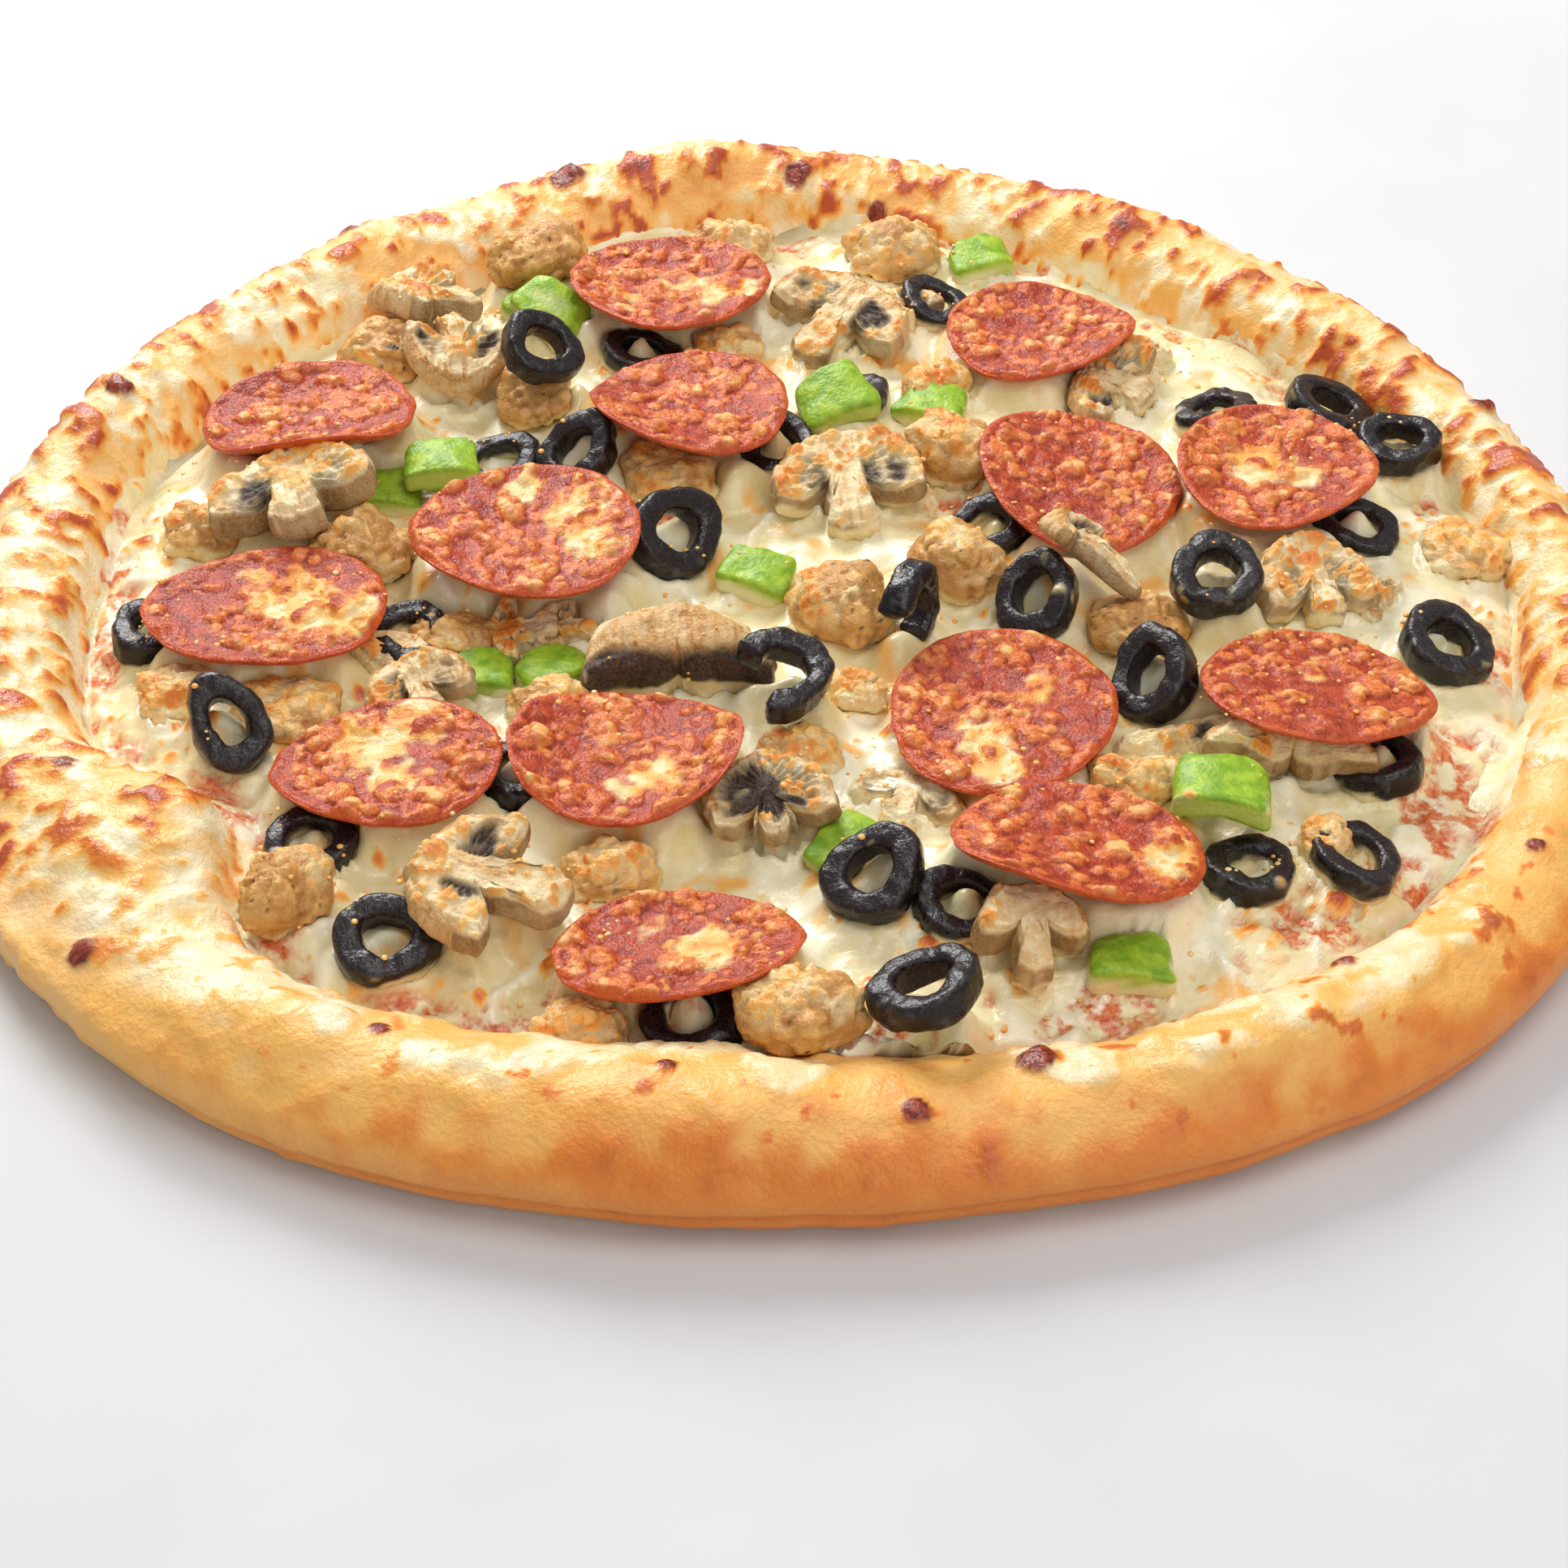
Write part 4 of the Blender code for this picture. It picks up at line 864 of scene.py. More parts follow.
def pepperoni(node, material, index):
    """A slice: the solid's top as a polynomial sheet over a disc grid, with beads of browned fat."""
    corners = solid_faces(node)
    low, high = corners.reshape(-1, 3).min(axis=0), corners.reshape(-1, 3).max(axis=0)
    x, y = (low[:2] + high[:2]) / 2
    wide, deep = high[0] - low[0], high[1] - low[1]
    normals, lengths = face_normals(corners)
    tops = corners[(normals[:, 2] > 0) & (np.abs(normals[:, 2]) / lengths > 0.5)].reshape(-1, 3)
    radius = max(wide, deep) / 2
    powers = [(i, j) for i in range(len(HOLD)) for j in range(len(HOLD) - i)]

    def terms(px, py):
        return np.stack([((px - x) / radius) ** i * ((py - y) / radius) ** j for i, j in powers], axis=1)

    matrix = terms(tops[:, 0], tops[:, 1])
    # The higher the power, the more it is held back, so that the sheet bends smoothly
    hold = np.diag([HOLD[i + j] for i, j in powers])
    sheet = np.linalg.solve(matrix.T @ matrix + hold, matrix.T @ tops[:, 2])
    u, v, faces, border = disc_grid(PEPPERONI_GRID)
    turn = np.arctan2(v, u)
    share = np.hypot(u, v)
    seed = PEPPERONI_SEED + PEPPERONI_SEEDS * index
    wobble = 1.0 + 0.025 * np.sin(2 * turn + GOLDEN_ANGLE * index) + 0.018 * np.sin(3 * turn + 1.7 * index)
    circle = round_axis(turn, 6, index)
    ragged = 1.0 + 0.065 * (noise(circle, 1.6, seed, 3) - 0.5)
    px, py = wobble * ragged * u, wobble * ragged * v
    px = x + wide * ((px - px.min()) / np.ptp(px) - 0.5)
    py = y + deep * ((py - py.min()) / np.ptp(py) - 0.5)
    level = terms(px, py) @ sheet
    flat = flat_places(px, py)
    small = beads(flat, 2.4, 0.78, seed)
    large = beads(flat, 4.8, 0.70, seed + 1)
    lumps = noise(flat, 6.0, seed + 2, 2)
    where = smooth(0.30, 0.50, noise(flat, 7.0, seed + 3, 3))
    inside = smooth(1.0, 0.92, share)
    cover = np.zeros_like(px)
    for dx, dy, size, strength in PEPPERONI[node]:
        cover = np.maximum(cover, strength * np.exp(-(np.hypot(px - x - dx, py - y - dy) / size) ** 2))
    torn = noise(flat, 3.6, seed + 4, 3)
    film = smooth(0.40, 0.62, cover + 0.75 * (torn - 0.5) - 0.12 * large) * inside
    crumb = smooth(0.35, 0.7, np.maximum(small, large)) * smooth(0.50, 0.66, noise(flat, 2.6, seed + 5, 2))
    film = np.maximum(film, 0.7 * crumb * where * inside)
    brown = 0.10 + 1.1 * (noise(flat, 3.4, seed + 6, 2) - 0.42) + 0.35 * large * film + 0.45 * crumb
    height = (0.55 * small + 1.3 * large) * (0.35 + 0.65 * where)
    curl = 1.2 * (noise(circle, 4.0, seed + 8, 1) - 0.5) * smooth(0.6, 1.0, share)
    relief = (height + 0.9 * (lumps - 0.5) + 0.3 * film) * inside
    edge = smooth(0.925, 0.98, share + 0.04 * (torn - 0.5))
    level = level + relief + curl - 0.4 * smooth(0.95, 1.0, share) ** 2
    top = np.stack([px, py, level], axis=1)
    # Bead height: the finish turns it into orange fat beads with a painted highlight on their tips.
    bead_height_and_highlight = np.clip(0.7 * small + 0.6 * large, 0, 1) * where
    zones = np.stack([film, np.clip(brown, 0, 0.85), bead_height_and_highlight, edge], axis=1)
    ring = top[border]
    middle = np.array([x, y, 0.0])
    swirl = curl[border]
    rings, masks = [], []
    for width, drop in PEPPERONI_SIDE:
        below = middle + (ring - middle) * [width, width, 0]
        below[:, 2] = terms(below[:, 0], below[:, 1]) @ sheet - drop + swirl * (width > 0.9)
        rings.append(below)
        masks.append(np.tile([0.0, 0.0, 0.1, 1.0], (len(border), 1)))
    centre = np.array([x, y, (terms(np.array([x]), np.array([y])) @ sheet)[0] - PEPPERONI_THICKNESS])
    points, faces = close_below(top, faces, border, rings, centre)
    zones = np.concatenate([zones] + masks + [[[0.0, 0.0, 0.0, 1.0]]])
    add_piece(f"{node}_slice", points, faces, zones, material, "pepperoni", node)
    return points


def boxy(value, power):
    """A sine or cosine raised to a power with its sign kept, which squares the curve it draws."""
    return np.sign(value) * np.abs(value) ** power


def olive_ring(share, flat, sweep, seed):
    """A ring cut from an olive: a rounded section carried round the hole, shrunk shut at open ends."""
    whole = sweep >= 360
    around, across = OLIVE_AROUND if whole else OPEN_OLIVE_AROUND, OLIVE_ACROSS
    turn = np.radians(np.linspace(0.0, sweep, around, endpoint=not whole))
    lap = np.linspace(0.0, 2.0 * math.pi, across, endpoint=False)
    turns, laps = (grid.ravel() for grid in np.meshgrid(turn, lap, indexing="ij"))
    middle = (OLIVE_RADIUS + OLIVE_HOLE) / 2
    half = (OLIVE_RADIUS - OLIVE_HOLE) / 2
    # Rounded rectangle section as a superellipse
    cosine, sine = np.cos(laps), np.sin(laps)
    wide, tall = boxy(cosine, 0.55), boxy(sine, 0.55)
    if whole:
        shut = np.ones_like(turns)
    else:
        ends = np.minimum(turns, math.radians(sweep) - turns) * OLIVE_RADIUS
        shut = np.sqrt(np.clip(ends / 1.5, 0.0, 1.0)) * 0.97 + 0.03
    radius = (middle + half * wide * shut) * share * (1.0 + 0.05 * np.sin(3 * turns + 1.0))
    level = OLIVE_HEIGHT / 2 * tall * shut
    points = np.stack([radius * np.cos(turns), flat * radius * np.sin(turns), level], axis=1)
    bulge = noise(points + seed, 4.0, seed, 2) - 0.5
    crease = noise(points * [1, 1, 0.25] + seed, 1.6, seed + 1, 2) - 0.5
    points = points + round_axis(turns, wide, tall) * (1.3 * bulge + 0.45 * crease)[:, None]
    index = np.arange(len(points)).reshape(around, across)
    spans = around if whole else around - 1
    faces = np.concatenate([band(index[k], index[(k + 1) % around]) for k in range(spans)]).tolist()
    if not whole:
        faces += [index[0].tolist()[::-1], index[-1].tolist()]
    cut = smooth(0.55, 0.85, np.abs(tall)) * smooth(-1.0, -0.2, wide) + smooth(-0.4, -0.8, wide)
    mask, brown, height = crumbs(points, seed, 0.05)
    up = smooth(0.0, 0.6, tall)
    points = raised(points, 0.6 * height * up)
    worn = smooth(0.62, 0.8, noise(points, 1.5, seed + 9, 2)) * smooth(0.3, 0.9, wide)
    return points, faces, np.stack([mask * up, brown, np.clip(cut, 0, 1), worn], axis=1)


def sausage_knob(index, half_sizes, film_amount):
    """A knob of sausage: a ball with the solid's lumps, then crumbly beads and pits."""
    rise, turn, faces = ball_grid(*SAUSAGE_BALL)
    ball = ball_points(rise, turn)
    phase = GOLDEN_ANGLE * index
    lumps = 0.10 * np.sin(2.3 * ball[:, 0] + phase) * np.sin(2.6 * ball[:, 1] + 2 * phase)
    lumps += 0.08 * np.sin(4.1 * ball[:, 1] - phase) * np.sin(3.7 * ball[:, 2] + phase)
    base = ball * (1.0 + lumps)[:, None]
    base[:, 2] = np.maximum(base[:, 2], -SAUSAGE_SUNK - 0.1 * (base[:, 2] < -SAUSAGE_SUNK))
    points = base * np.array(half_sizes)
    seed = SAUSAGE_SEED + SAUSAGE_SEEDS * index
    knobs = beads(points, 4.4, 0.72, seed)
    fine = beads(points, 2.0, 0.66, seed + 1)
    pits = smooth(0.62, 0.8, noise(points, 2.2, seed + 2, 2))
    swell = noise(points, 6.0, seed + 3, 2) - 0.5
    relief = 1.1 * knobs + 0.5 * fine - 0.7 * pits + 1.6 * swell - 0.6
    points = points + ball * relief[:, None]
    # Mask of painted shade: the low places between the knobs, and the pits pressed into the surface.
    painted_crevice_shade = np.clip(smooth(0.35, 0.05, knobs) * 0.7 + pits, 0, 1)
    speck = smooth(0.86, 0.92, noise(points, 1.1, seed + 4, 1))
    mask, brown, height = crumbs(points, seed + 5, film_amount)
    up = smooth(0.0, 0.5, ball[:, 2])
    points = raised(points, 0.5 * height * up)
    return points, faces, np.stack([mask * up, brown * up, painted_crevice_shade, speck], axis=1)


def pepper_dice(half_sizes, bend, seed):
    """A diced piece of pepper wall: a boxy superellipsoid, bowed, with its top marked as skin."""
    rise, turn, faces = ball_grid(*PEPPER_BALL)
    u = boxy(np.cos(rise), 0.22) * boxy(np.cos(turn), 0.30)
    v = boxy(np.cos(rise), 0.22) * boxy(np.sin(turn), 0.30)
    w = boxy(np.sin(rise), 0.30)
    a, b, c = half_sizes
    lift = bend * (0.6 - u * u)
    points = np.stack([u * a * (1 - 0.08 * v), v * b * (1 + 0.10 * u), w * c + lift], axis=1)
    swell = noise(points + seed, 5.0, seed, 2) - 0.5
    points = points + np.stack([u, v, w], axis=1) * (1.9 * swell)[:, None]
    side = smooth(0.75, 0.4, np.abs(w))
    mask, brown, height = crumbs(points, seed, 0.12)
    up = smooth(0.2, 0.8, w)
    points = raised(points, 0.4 * height * up)
    return points, faces, np.stack([mask * up, brown * up, side, up], axis=1)


def mushroom_slice(half_width, cap, stem, thickness, bend, shows, seed):
    """A slice down a mushroom: rays from inside the cap out to its outline, made thick and bent."""
    arc = np.radians(np.linspace(-12.0, 192.0, 40))
    upper = np.stack([half_width * np.cos(arc), cap * np.sin(arc)], axis=1)
    if stem > 0:
        foot, neck = half_width * 0.34, half_width * 0.26
        under = [(-0.62 * half_width, -0.22 * cap), (-neck, 0.02 * cap), (-neck, -0.45 * stem),
                 (-foot, -0.85 * stem), (-0.5 * foot, -stem), (0.5 * foot, -stem), (foot, -0.85 * stem),
                 (neck, -0.45 * stem), (neck, 0.02 * cap), (0.62 * half_width, -0.22 * cap)]
    else:
        under = [(-0.55 * half_width, -0.14 * cap), (0.0, 0.02 * cap), (0.55 * half_width, -0.14 * cap)]
    outline = np.concatenate([upper, np.array(under)])
    hub = np.array([0.0, 0.3 * cap])
    rays = outline - hub
    bearing = np.unwrap(np.arctan2(rays[:, 1], rays[:, 0]))
    order = np.argsort(bearing)
    u, v, faces, border = disc_grid(MUSHROOM_GRID)
    share = np.hypot(u, v)
    angle = np.arctan2(v, u)
    reach = np.interp(angle, bearing[order], np.linalg.norm(rays, axis=1)[order], period=2 * math.pi)
    circle = round_axis(angle, 5, seed)
    ragged = noise(circle, 2.2, seed, 3) - 0.5
    fray = noise(circle, 0.7, seed + 4, 2) - 0.5
    reach = reach * (1.0 + 0.22 * ragged * smooth(0.3, 1.0, share) + 0.05 * fray * smooth(0.9, 1.0, share))
    x = hub[0] + reach * share * np.cos(angle)
    y = hub[1] + reach * share * np.sin(angle)
    flat = flat_places(x, y) + [0.0, 0.0, 3.0 * seed]
    lift = bend * ((x / half_width) ** 2 - 0.5)
    curl = 4.0 * (noise(flat, 13.0, seed + 1, 1) - 0.5) * smooth(0.2, 1.0, share)
    fibre = noise(flat * [2.4, 0.4, 1.0], 1.6, seed + 2, 3) - 0.5
    wrinkle = noise(flat, 4.0, seed + 3, 3) - 0.5
    dome = 4.0 * (1 - share ** 2) if shows == "skin" else 0.0
    level = thickness / 2 + lift + curl + 0.5 * fibre + 1.8 * wrinkle + dome - 1.0 * smooth(0.84, 1.0, share)
    mouth = np.hypot(x / (0.86 * half_width), (y - 0.05 * cap) / (0.55 * cap))
    gills = smooth(1.05, 0.85, mouth) * smooth(0.20, 0.30, np.abs(x) / half_width)
    gills = gills * smooth(-0.35, -0.1, y / cap) * smooth(0.15, 0.45, 0.4 + wrinkle)
    skin = smooth(0.84, 0.95, share) * (y > 0.0)
    film_amount = 0.38
    if shows == "gills":
        gills = smooth(1.0, 0.6, share) * 0.9 + 0.1
        film_amount = 0.34
    elif shows == "skin":
        level = level - 2.4 * smooth(0.6, 1.0, share)
        gills = smooth(0.22, 0.06, y / cap + 0.2 * wrinkle)
        skin = np.ones_like(x) * 0.55 * smooth(1.0, 0.90, share)
        film_amount = 0.10
    elif shows == "stem":
        gills = gills * 0.0
        fibre = fibre * 0.5 - 0.05
        film_amount = 0.36
    fins = np.sin(26 * np.arctan2(y - hub[1], x + 1e-9))
    level = level - 0.9 * gills + 0.35 * gills * fins
    skin = np.clip(skin + 0.9 * smooth(0.0, 0.22, fibre) * (1 - gills), 0, 1)
    mask, brown, height = crumbs(flat, seed + 20, film_amount)
    bead = beads(flat, 2.6, 0.6, seed + 5)
    level = level + 1.1 * height + 0.25 * bead * (1 - mask)
    top = np.stack([x, y, level], axis=1)
    zones = np.stack([mask, brown, gills, skin], axis=1)
    ring = top[border]
    rings, masks = [], []
    edge_lift = lift[border] + curl[border]
    outward = ring[:, :2] - hub
    outward = outward / np.linalg.norm(outward, axis=1, keepdims=True)
    sweep = np.unwrap(angle[border])
    none = np.zeros(len(ring))
    for down in np.arange(1, MUSHROOM_SIDE_RINGS) / (MUSHROOM_SIDE_RINGS - 1):
        bulge = 0.8 * math.sin(math.pi * down)
        streaks = noise(round_axis(sweep, 6, 0.5 * down), 0.8, seed + 7, 2)
        spread = bulge + 1.3 * (streaks - 0.5) - (0.8 if down == 1.0 else 0.0)
        below = np.column_stack([ring[:, :2] + outward * spread[:, None], none])
        below[:, 2] = ring[:, 2] * (1 - down) + (edge_lift - thickness / 2) * down
        rings.append(below)
        dark = (ring[:, 1] < 0.12 * cap) * (0.9 if shows == "skin" else 0.45)
        tan = np.clip(0.30 + 1.3 * (streaks - 0.40), 0, 1)
        masks.append(np.column_stack([none, none, dark * (0.4 + streaks), tan]))
    centre = np.array([hub[0], hub[1], -thickness / 2 + bend * -0.5 + 0.3])
    points, faces = close_below(top, faces, border, rings, centre)
    return points, faces, np.concatenate([zones] + masks + [[[0, 0, 0, 1]]])


def joined(parts):
    """Several shapes as one: points, faces and zones with the point numbers moved on."""
    points, faces, zones, start = [], [], [], 0
    for part_points, part_faces, part_zones in parts:
        points.append(part_points)
        faces += [[corner + start for corner in face] for face in part_faces]
        zones.append(part_zones)
        start += len(part_points)
    return np.concatenate(points), faces, np.concatenate(zones)


def clinging(points, zones, seed, reach):
    """Melted cheese clinging to a topping's foot: all that lies within a ragged height of the melt."""
    above = points[:, 2] - cheese_top(points[:, 0], points[:, 1]) - 1.6
    cling = smooth(reach, reach - 1.0, above + 5.0 * (noise(points, 6.0, seed, 2) - 0.5))
    fresh = cling > zones[:, 0]
    zones = zones.copy()
    zones[:, 1] = np.where(fresh, 0.12 * smooth(0.5, 0.7, noise(points, 4.0, seed + 1, 2)), zones[:, 1])
    zones[:, 0] = np.maximum(zones[:, 0], cling)
    return zones


def level_at(x, y):
    """Height of the bare cheese at one place."""
    return float(cheese_top(np.array([float(x)]), np.array([float(y)]))[0])


def laid_shapes():
    """Each topping with a node of its own: node, kind, number in its kind, shape, tilt and turn."""
    for index, (node, (share, flat, tilt_x, tilt_y, turn, sweep)) in enumerate(OLIVES.items()):
        yield node, "olive", index, olive_ring(share, flat, sweep, OLIVE_SEED + index), (tilt_x, tilt_y), turn
    for index, (node, (a, b, c, turn)) in enumerate(SAUSAGES.items()):
        yield node, "sausage", index, sausage_knob(index, (a, b, c), 0.30), (0, 0), turn
    for index, (node, row) in enumerate(MUSHROOMS.items()):
        wide, cap, stem, thick, turn, tilt_x, tilt_y, bend, shows = row
        shape = mushroom_slice(wide, cap, stem, thick, bend, shows, MUSHROOM_SEED + index)
        yield node, "mushroom", index, shape, (tilt_x, tilt_y), turn
    for index, (node, (a, b, c, turn, bend)) in enumerate(PEPPERS.items()):
        yield node, "pepper", index, pepper_dice((a, b, c), bend, PEPPER_SEED + index), (0, 0), turn


def sunk_shapes():
    """Each topping sunk in the cheese: kind, number in its kind, shape, place over it and turns."""
    for k, (x, y, a, b, c) in enumerate(SUNK_LUMPS):
        shape = sausage_knob(SUNK_SAUSAGE_FIRST + k, (a, b, c), 0.42)
        yield "sausage", k, shape, (x, y, 0.35 * c + 0.6), (0, 0, 0)
    for k, (x, y) in enumerate(SUNK_OLIVES):
        shape = olive_ring(0.95, 0.88, 360, SUNK_OLIVE_SEED + k)
        yield "olive", k, shape, (x, y, 2.2), (12.0 * math.sin(k), 12.0 * math.cos(2 * k), 40 * k)
    for k, (x, y, turn) in enumerate(SUNK_PEPPERS):
        shape = pepper_dice((6.5, 5.0, 2.8), 1.2, SUNK_PEPPER_SEED + k)
        yield "pepper", k, shape, (x, y, 2.0), (5.0 * math.sin(k), 5.0 * math.cos(k), turn)
    for k, (x, y, wide, cap, stem, thick, turn) in enumerate(SUNK_MUSHROOMS):
        shape = mushroom_slice(wide, cap, stem, thick, 1.5, "flesh", SUNK_MUSHROOM_SEED + k)
        yield "mushroom", k, shape, (x, y, 2.4), (6.0 * math.sin(k), 8.0 * math.cos(k), turn)


def toppings():
    """Every topping of its own, then the sunk ones by kind; returns the points of both."""
    meat = pepperoni_finish()
    finishes = {"olive": olive_finish(), "sausage": sausage_finish(), "mushroom": mushroom_finish(),
                "pepper": pepper_finish()}
    clouds = []
    for index, node in enumerate(PEPPERONI):
        points = pepperoni(node, meat, index)
        clouds += [points, points - [0, 0, PEPPERONI_THICKNESS]]
    for node, kind, index, (points, faces, zones), tilt, turn in laid_shapes():
        word, seed, reach = CLINGS[kind]
        points = stood(points, node, way_up(node, *tilt), turn)
        zones = clinging(points, zones, seed + index, reach)
        add_piece(f"{node}_{word}", points, faces, zones, finishes[kind], kind, node)
        clouds.append(points)
        if kind == "mushroom":
            clouds.append(points - [0, 0, 0.8 * MUSHROOMS[node][3]])
    return np.concatenate(clouds), sunk_toppings(finishes)


def sunk_toppings(finishes):
    """The toppings sunk in the cheese, one piece for each kind; returns all their points."""
    parts = {kind: [] for kind in SUNK_CLINGS}
    for kind, index, (points, faces, zones), (x, y, rise), turns in sunk_shapes():
        points = turned(points, *turns) + [x, y, level_at(x, y) + rise]
        _, seed, reach = SUNK_CLINGS[kind]
        parts[kind].append((points, faces, clinging(points, zones, seed + index, reach)))
    clouds = []
    for kind, (name, _, _) in SUNK_CLINGS.items():
        points, faces, zones = joined(parts[kind])
        add_piece(name, points, faces, zones, finishes[kind], kind, "cheese")
        clouds.append(points)
    return np.concatenate(clouds)


def blurred(field, reach):
    """A square field blurred by a bell curve of a reach in cells, along one axis and then the other."""
    steps = np.arange(-3 * reach, 3 * reach + 1)
    weights = np.exp(-(steps / reach) ** 2)
    weights /= weights.sum()
    for axis in (0, 1):
        field = np.apply_along_axis(lambda line: np.convolve(line, weights, mode="same"), axis, field)
    return field


def cell_heights(points, pick, empty):
    """Highest or lowest point over each millimetre cell of the square that holds the pizza."""
    field = np.full((2 * SPAN, 2 * SPAN), empty)
    cell = np.clip((points[:, :2] + SPAN).astype(int), 0, 2 * SPAN - 1)
    pick.at(field, (cell[:, 0], cell[:, 1]), points[:, 2])
    return field


def sampled(field, x, y):
    """A field of millimetre cells read between their centres."""
    fx, fy = (np.clip(value + SPAN - 0.5, 0, 2 * SPAN - 1.01) for value in (x, y))
    ix, iy = fx.astype(int), fy.astype(int)
    tx, ty = fx - ix, fy - iy
    low = field[ix, iy] * (1 - tx) + field[ix + 1, iy] * tx
    high = field[ix, iy + 1] * (1 - tx) + field[ix + 1, iy + 1] * tx
    return low * (1 - ty) + high * ty


def cheese(above, sunk):
    """The melted cheese: the solid's waves, risen against the toppings, with folds and thin places."""
    u, v, faces, border = disc_grid(CHEESE_GRID)
    angle = np.arctan2(v, u)
    edge = bed_edge(angle) + 3.0 + 1.5 * np.sin(11 * angle) + 1.0 * np.sin(17 * angle + 2)
    x, y = edge * u, edge * v
    flat = flat_places(x, y)
    under = cell_heights(np.concatenate([above, sunk]), np.minimum, EMPTY)
    covered = under < EMPTY
    centres = np.arange(2 * SPAN) - SPAN + 0.5
    cx, cy = np.meshgrid(centres, centres, indexing="ij")
    bare = cheese_top(cx, cy)
    lift = np.where(covered, np.clip(under - 0.2 - bare, 0.0, 7.0), 0.0)
    skirt, halo = (sampled(blurred(covered * 1.0, reach), x, y) for reach in (2, 5))
    swell = np.maximum(sampled(blurred(lift, 2), x, y), 2.0 * smooth(0.1, 0.95, skirt))
    waves = noise(flat, 12.0, 71, 3) - 0.5
    lumps = noise(flat, 4.5, 72, 3) - 0.5
    warped = flat + 6.0 * flat_places(waves, lumps)
    fold = smooth(0.2, 1.0, 1.0 - np.abs(2 * noise(warped, 13.0, 79, 2) - 1) * 3.0)
    where = smooth(0.48, 0.66, noise(flat, 15.0, 74, 2))
    bead = np.maximum(beads(flat, 5.2, 0.46, 73), 0.8 * beads(flat, 2.8, 0.5, 78)) * where
    brown = 0.75 * smooth(0.2, 0.8, bead) * smooth(0.35, 0.6, noise(flat, 5.0, 75, 2))
    brown = np.maximum(brown, 0.30 * smooth(0.56, 0.84, noise(flat, 6.0, 80, 3)))
    thin = np.zeros_like(x)
    for sx, sy, half_length, half_width in SAUCE:
        reach = ((x - sx) / half_length) ** 2 + ((y - sy) / half_width) ** 2
        thin = np.maximum(thin, np.exp(-reach))
    share = np.hypot(u, v)
    border_sauce = 0.75 * np.exp(-((share - 0.95) / 0.04) ** 2) * smooth(0.42, 0.58, noise(flat, 16.0, 81, 2))
    thin = np.maximum(thin, border_sauce)
    thin = smooth(0.34, 0.78, thin + 1.5 * (noise(flat, 4.0, 76, 4) - 0.5))
    rim = rim_top(x, y)
    level = np.maximum(cheese_top(x, y), rim + 0.5 * smooth(1.0, 0.94, share))
    inside = smooth(1.0, 0.92, share)
    level = level + swell + (2.2 * waves + 1.0 * lumps + 1.1 * fold) * inside + 0.9 * bead - 1.2 * thin
    ceiling = np.where(covered, np.maximum(under, bare) + 0.5, EMPTY)
    level = np.minimum(level, sampled(ceiling, x, y))
    level = np.maximum(level, rim + 0.9) - 2.6 * smooth(0.965, 1.0, share)
    oily = smooth(0.15, 0.85, halo) * smooth(0.36, 0.70, noise(flat, 8.0, 77, 3)) * 0.8
    # Painted light: the cheese is made paler on the fold ridges and wave crests, where they stand up.
    pale = np.clip(0.7 * fold + 0.8 * waves, 0, 1)
    top = np.stack([x, y, level], axis=1)
    zones = np.stack([brown * (1 - thin), pale, oily, thin], axis=1)
    ring = top[border]
    below = ring * [0.97, 0.97, 0.0]
    below[:, 2] = rim_top(below[:, 0], below[:, 1]) - 1.0
    rings = [below, below * [0.92, 0.92, 0.0] + [0, 0, BED_HEIGHT - 0.5]]
    points, faces = close_below(top, faces, border, rings, np.array([0.0, 0.0, BED_HEIGHT - 0.5]))
    zones = np.concatenate([zones, np.zeros((2 * len(border) + 1, 4))])
    finish = cheese_finish()
    add_piece("cheese_melt", points, faces, zones, finish, "cheese", "cheese")
    tops = cell_heights(np.concatenate([above, sunk, top]), np.maximum, 0.0)
    fat_beads(np.maximum(tops, bare), finish)


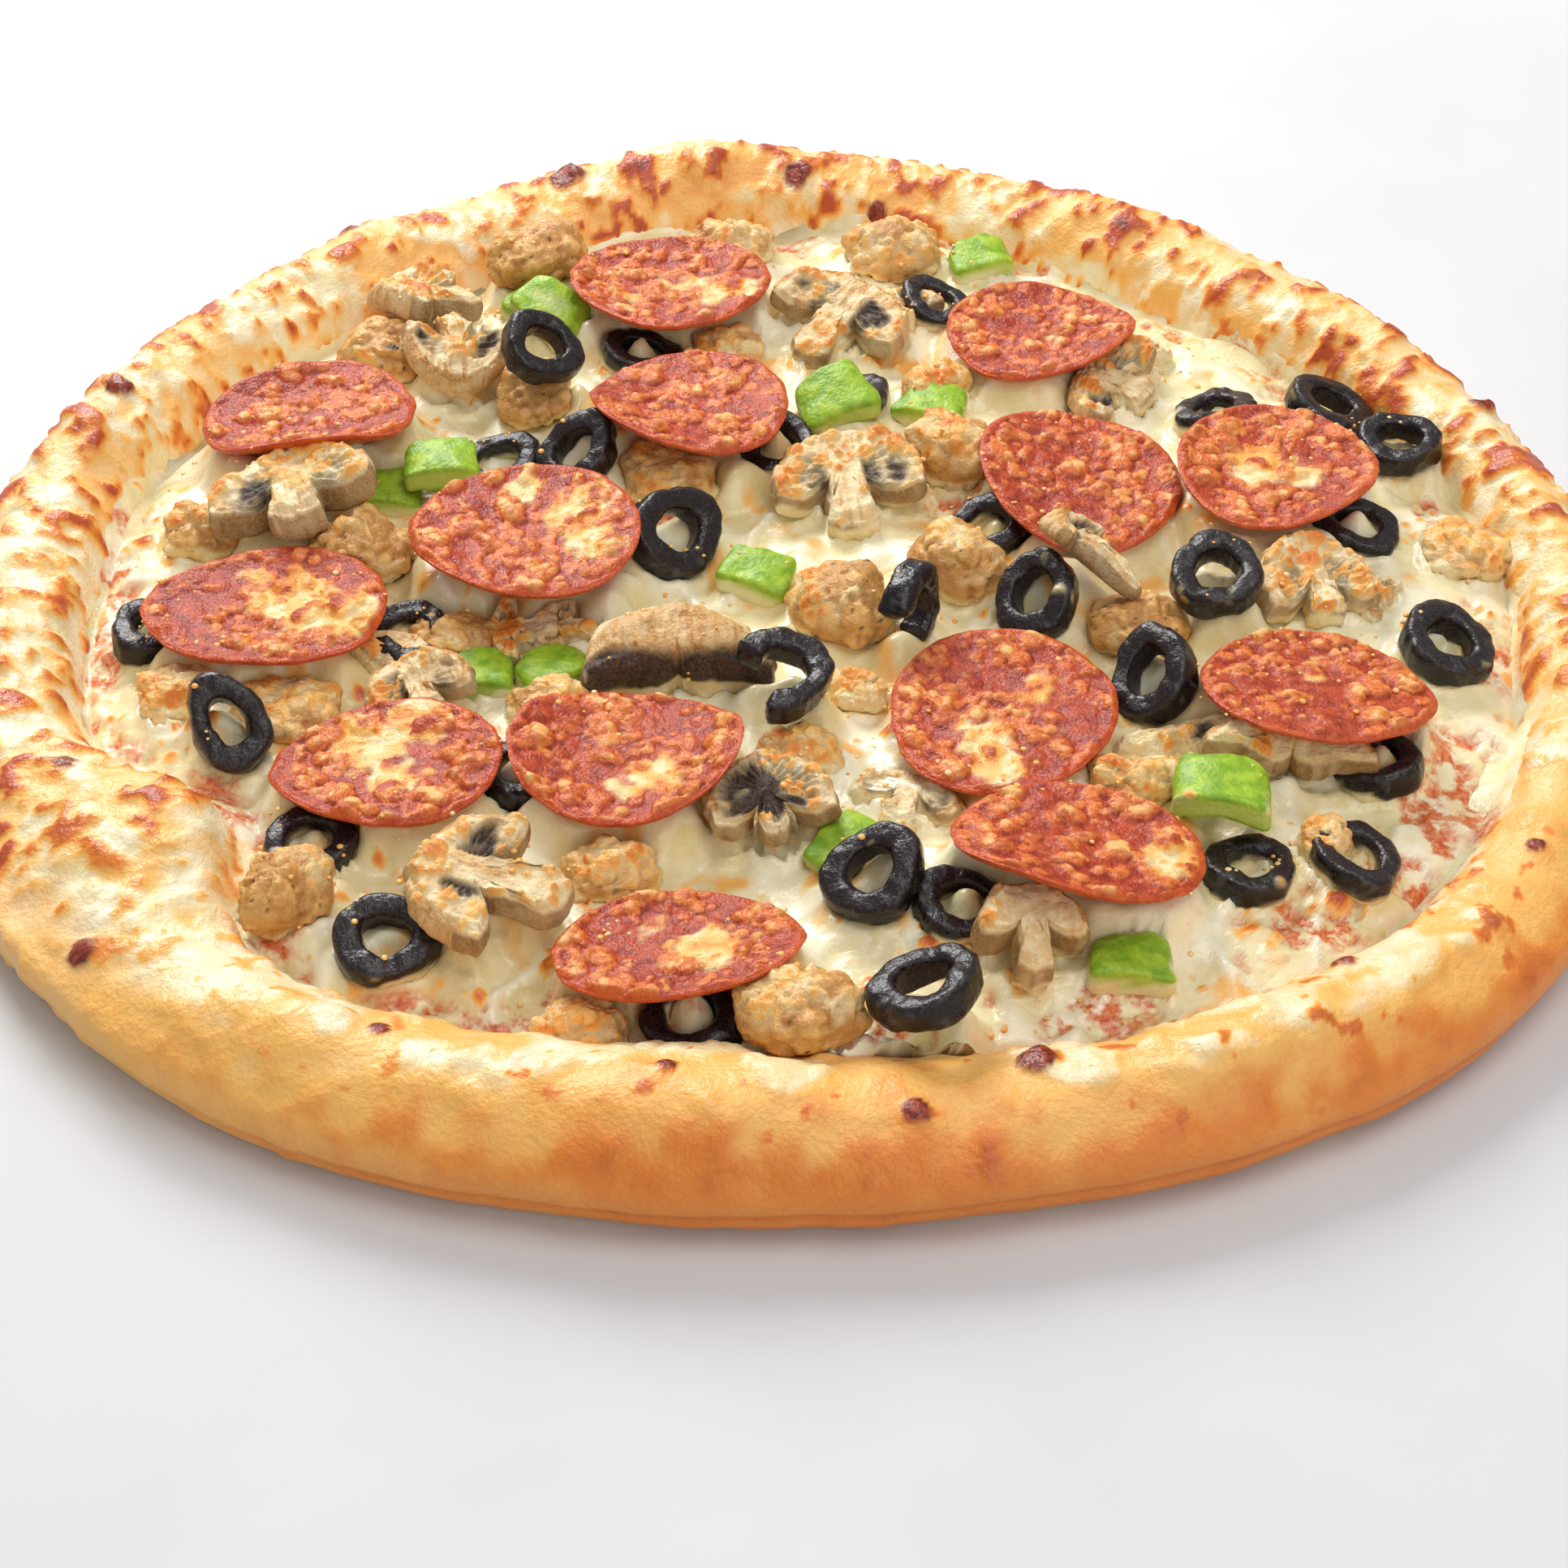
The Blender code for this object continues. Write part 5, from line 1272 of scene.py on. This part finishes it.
def fat_beads(tops, finish):
    """Small browned beads of cheese and fat strewn in drifts over the toppings and the melt."""
    draw = np.random.default_rng(FAT_SEED)
    spread = draw.uniform(-128, 128, (FAT_TRIES, 2))
    inside = np.hypot(*spread.T) < bed_edge(np.arctan2(spread[:, 1], spread[:, 0])) - 3
    drift = noise(flat_places(*spread.T), 16.0, 91, 3) + draw.uniform(-0.08, 0.08, len(spread))
    spread = spread[inside & (drift > 0.56)][:FAT_BEADS]
    size = 0.3 + 0.4 * draw.uniform(0, 1, len(spread)) ** 2
    rise, turn, ball_faces = ball_grid(*FAT_BALL)
    ball = ball_points(rise, turn) * [1.0, 1.0, 0.6]
    height = sampled(tops, spread[:, 0], spread[:, 1]) - 0.3 * size
    centres = np.column_stack([spread, height])
    points = (centres[:, None, :] + ball[None, :, :] * size[:, None, None]).reshape(-1, 3)
    count = len(ball)
    faces = [[corner + count * k for corner in face] for k in range(len(spread)) for face in ball_faces]
    shade = np.repeat(0.10 + 0.3 * draw.uniform(0, 1, len(spread)), count)
    rest = np.zeros(len(points))
    zones = np.stack([shade, rest, rest + 0.3, rest], axis=1)
    add_piece("fat_beads", points, faces, zones, finish, "cheese", "cheese")


def stage():
    """A pale floor, soft lights and the camera at the photo's angle."""
    bpy.ops.mesh.primitive_plane_add(size=FLOOR_SIZE, location=(0, 0, 0))
    floor = bpy.context.object
    floor.name = "floor"
    sheet = Sheet("pale_floor")
    colour = sheet.mix(sheet.grain(60.0), rgb(208, 208, 209), rgb(220, 220, 221))
    floor.data.materials.append(sheet.finish(colour, 0.7, sheet.grain(40.0), 0.05))
    floor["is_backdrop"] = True
    world = bpy.data.worlds.new("room")
    bpy.context.scene.world = world
    world.use_nodes = True
    world.node_tree.nodes["Background"].inputs[0].default_value = (1.0, 1.0, 1.0, 1.0)
    world.node_tree.nodes["Background"].inputs[1].default_value = ROOM_LIGHT
    for name, (place, size, power) in LIGHTS.items():
        light = bpy.data.lights.new(name, "AREA")
        light.size = size
        light.energy = power
        lamp = bpy.data.objects.new(name, light)
        bpy.context.scene.collection.objects.link(lamp)
        lamp.location = place
        x, y, z = place
        lamp.rotation_euler = (math.atan2(math.hypot(x, y), z), 0.0, math.atan2(y, x) + math.pi / 2)
    camera = bpy.data.objects.new("camera", bpy.data.cameras.new("camera"))
    bpy.context.scene.collection.objects.link(camera)
    camera.data.sensor_width = SENSOR
    camera.data.lens = FOCAL_PIXELS / PHOTO_WIDTH * SENSOR
    camera.data.clip_start = 0.01
    camera.location = np.array([0.0, -CAMERA_BACK, CAMERA_UP]) * MM - SHIFT * MM
    camera.rotation_euler = (math.radians(90.0 - CAMERA_PITCH), 0.0, 0.0)
    bpy.context.scene.camera = camera
    bpy.context.scene.view_settings.view_transform = "Standard"


stage()
crust()
cheese(*toppings())
low_high = {"cad": CAD_BOUNDS, "visual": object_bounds()}
{name: [list(corner) for corner in pair] for name, pair in low_high.items()}
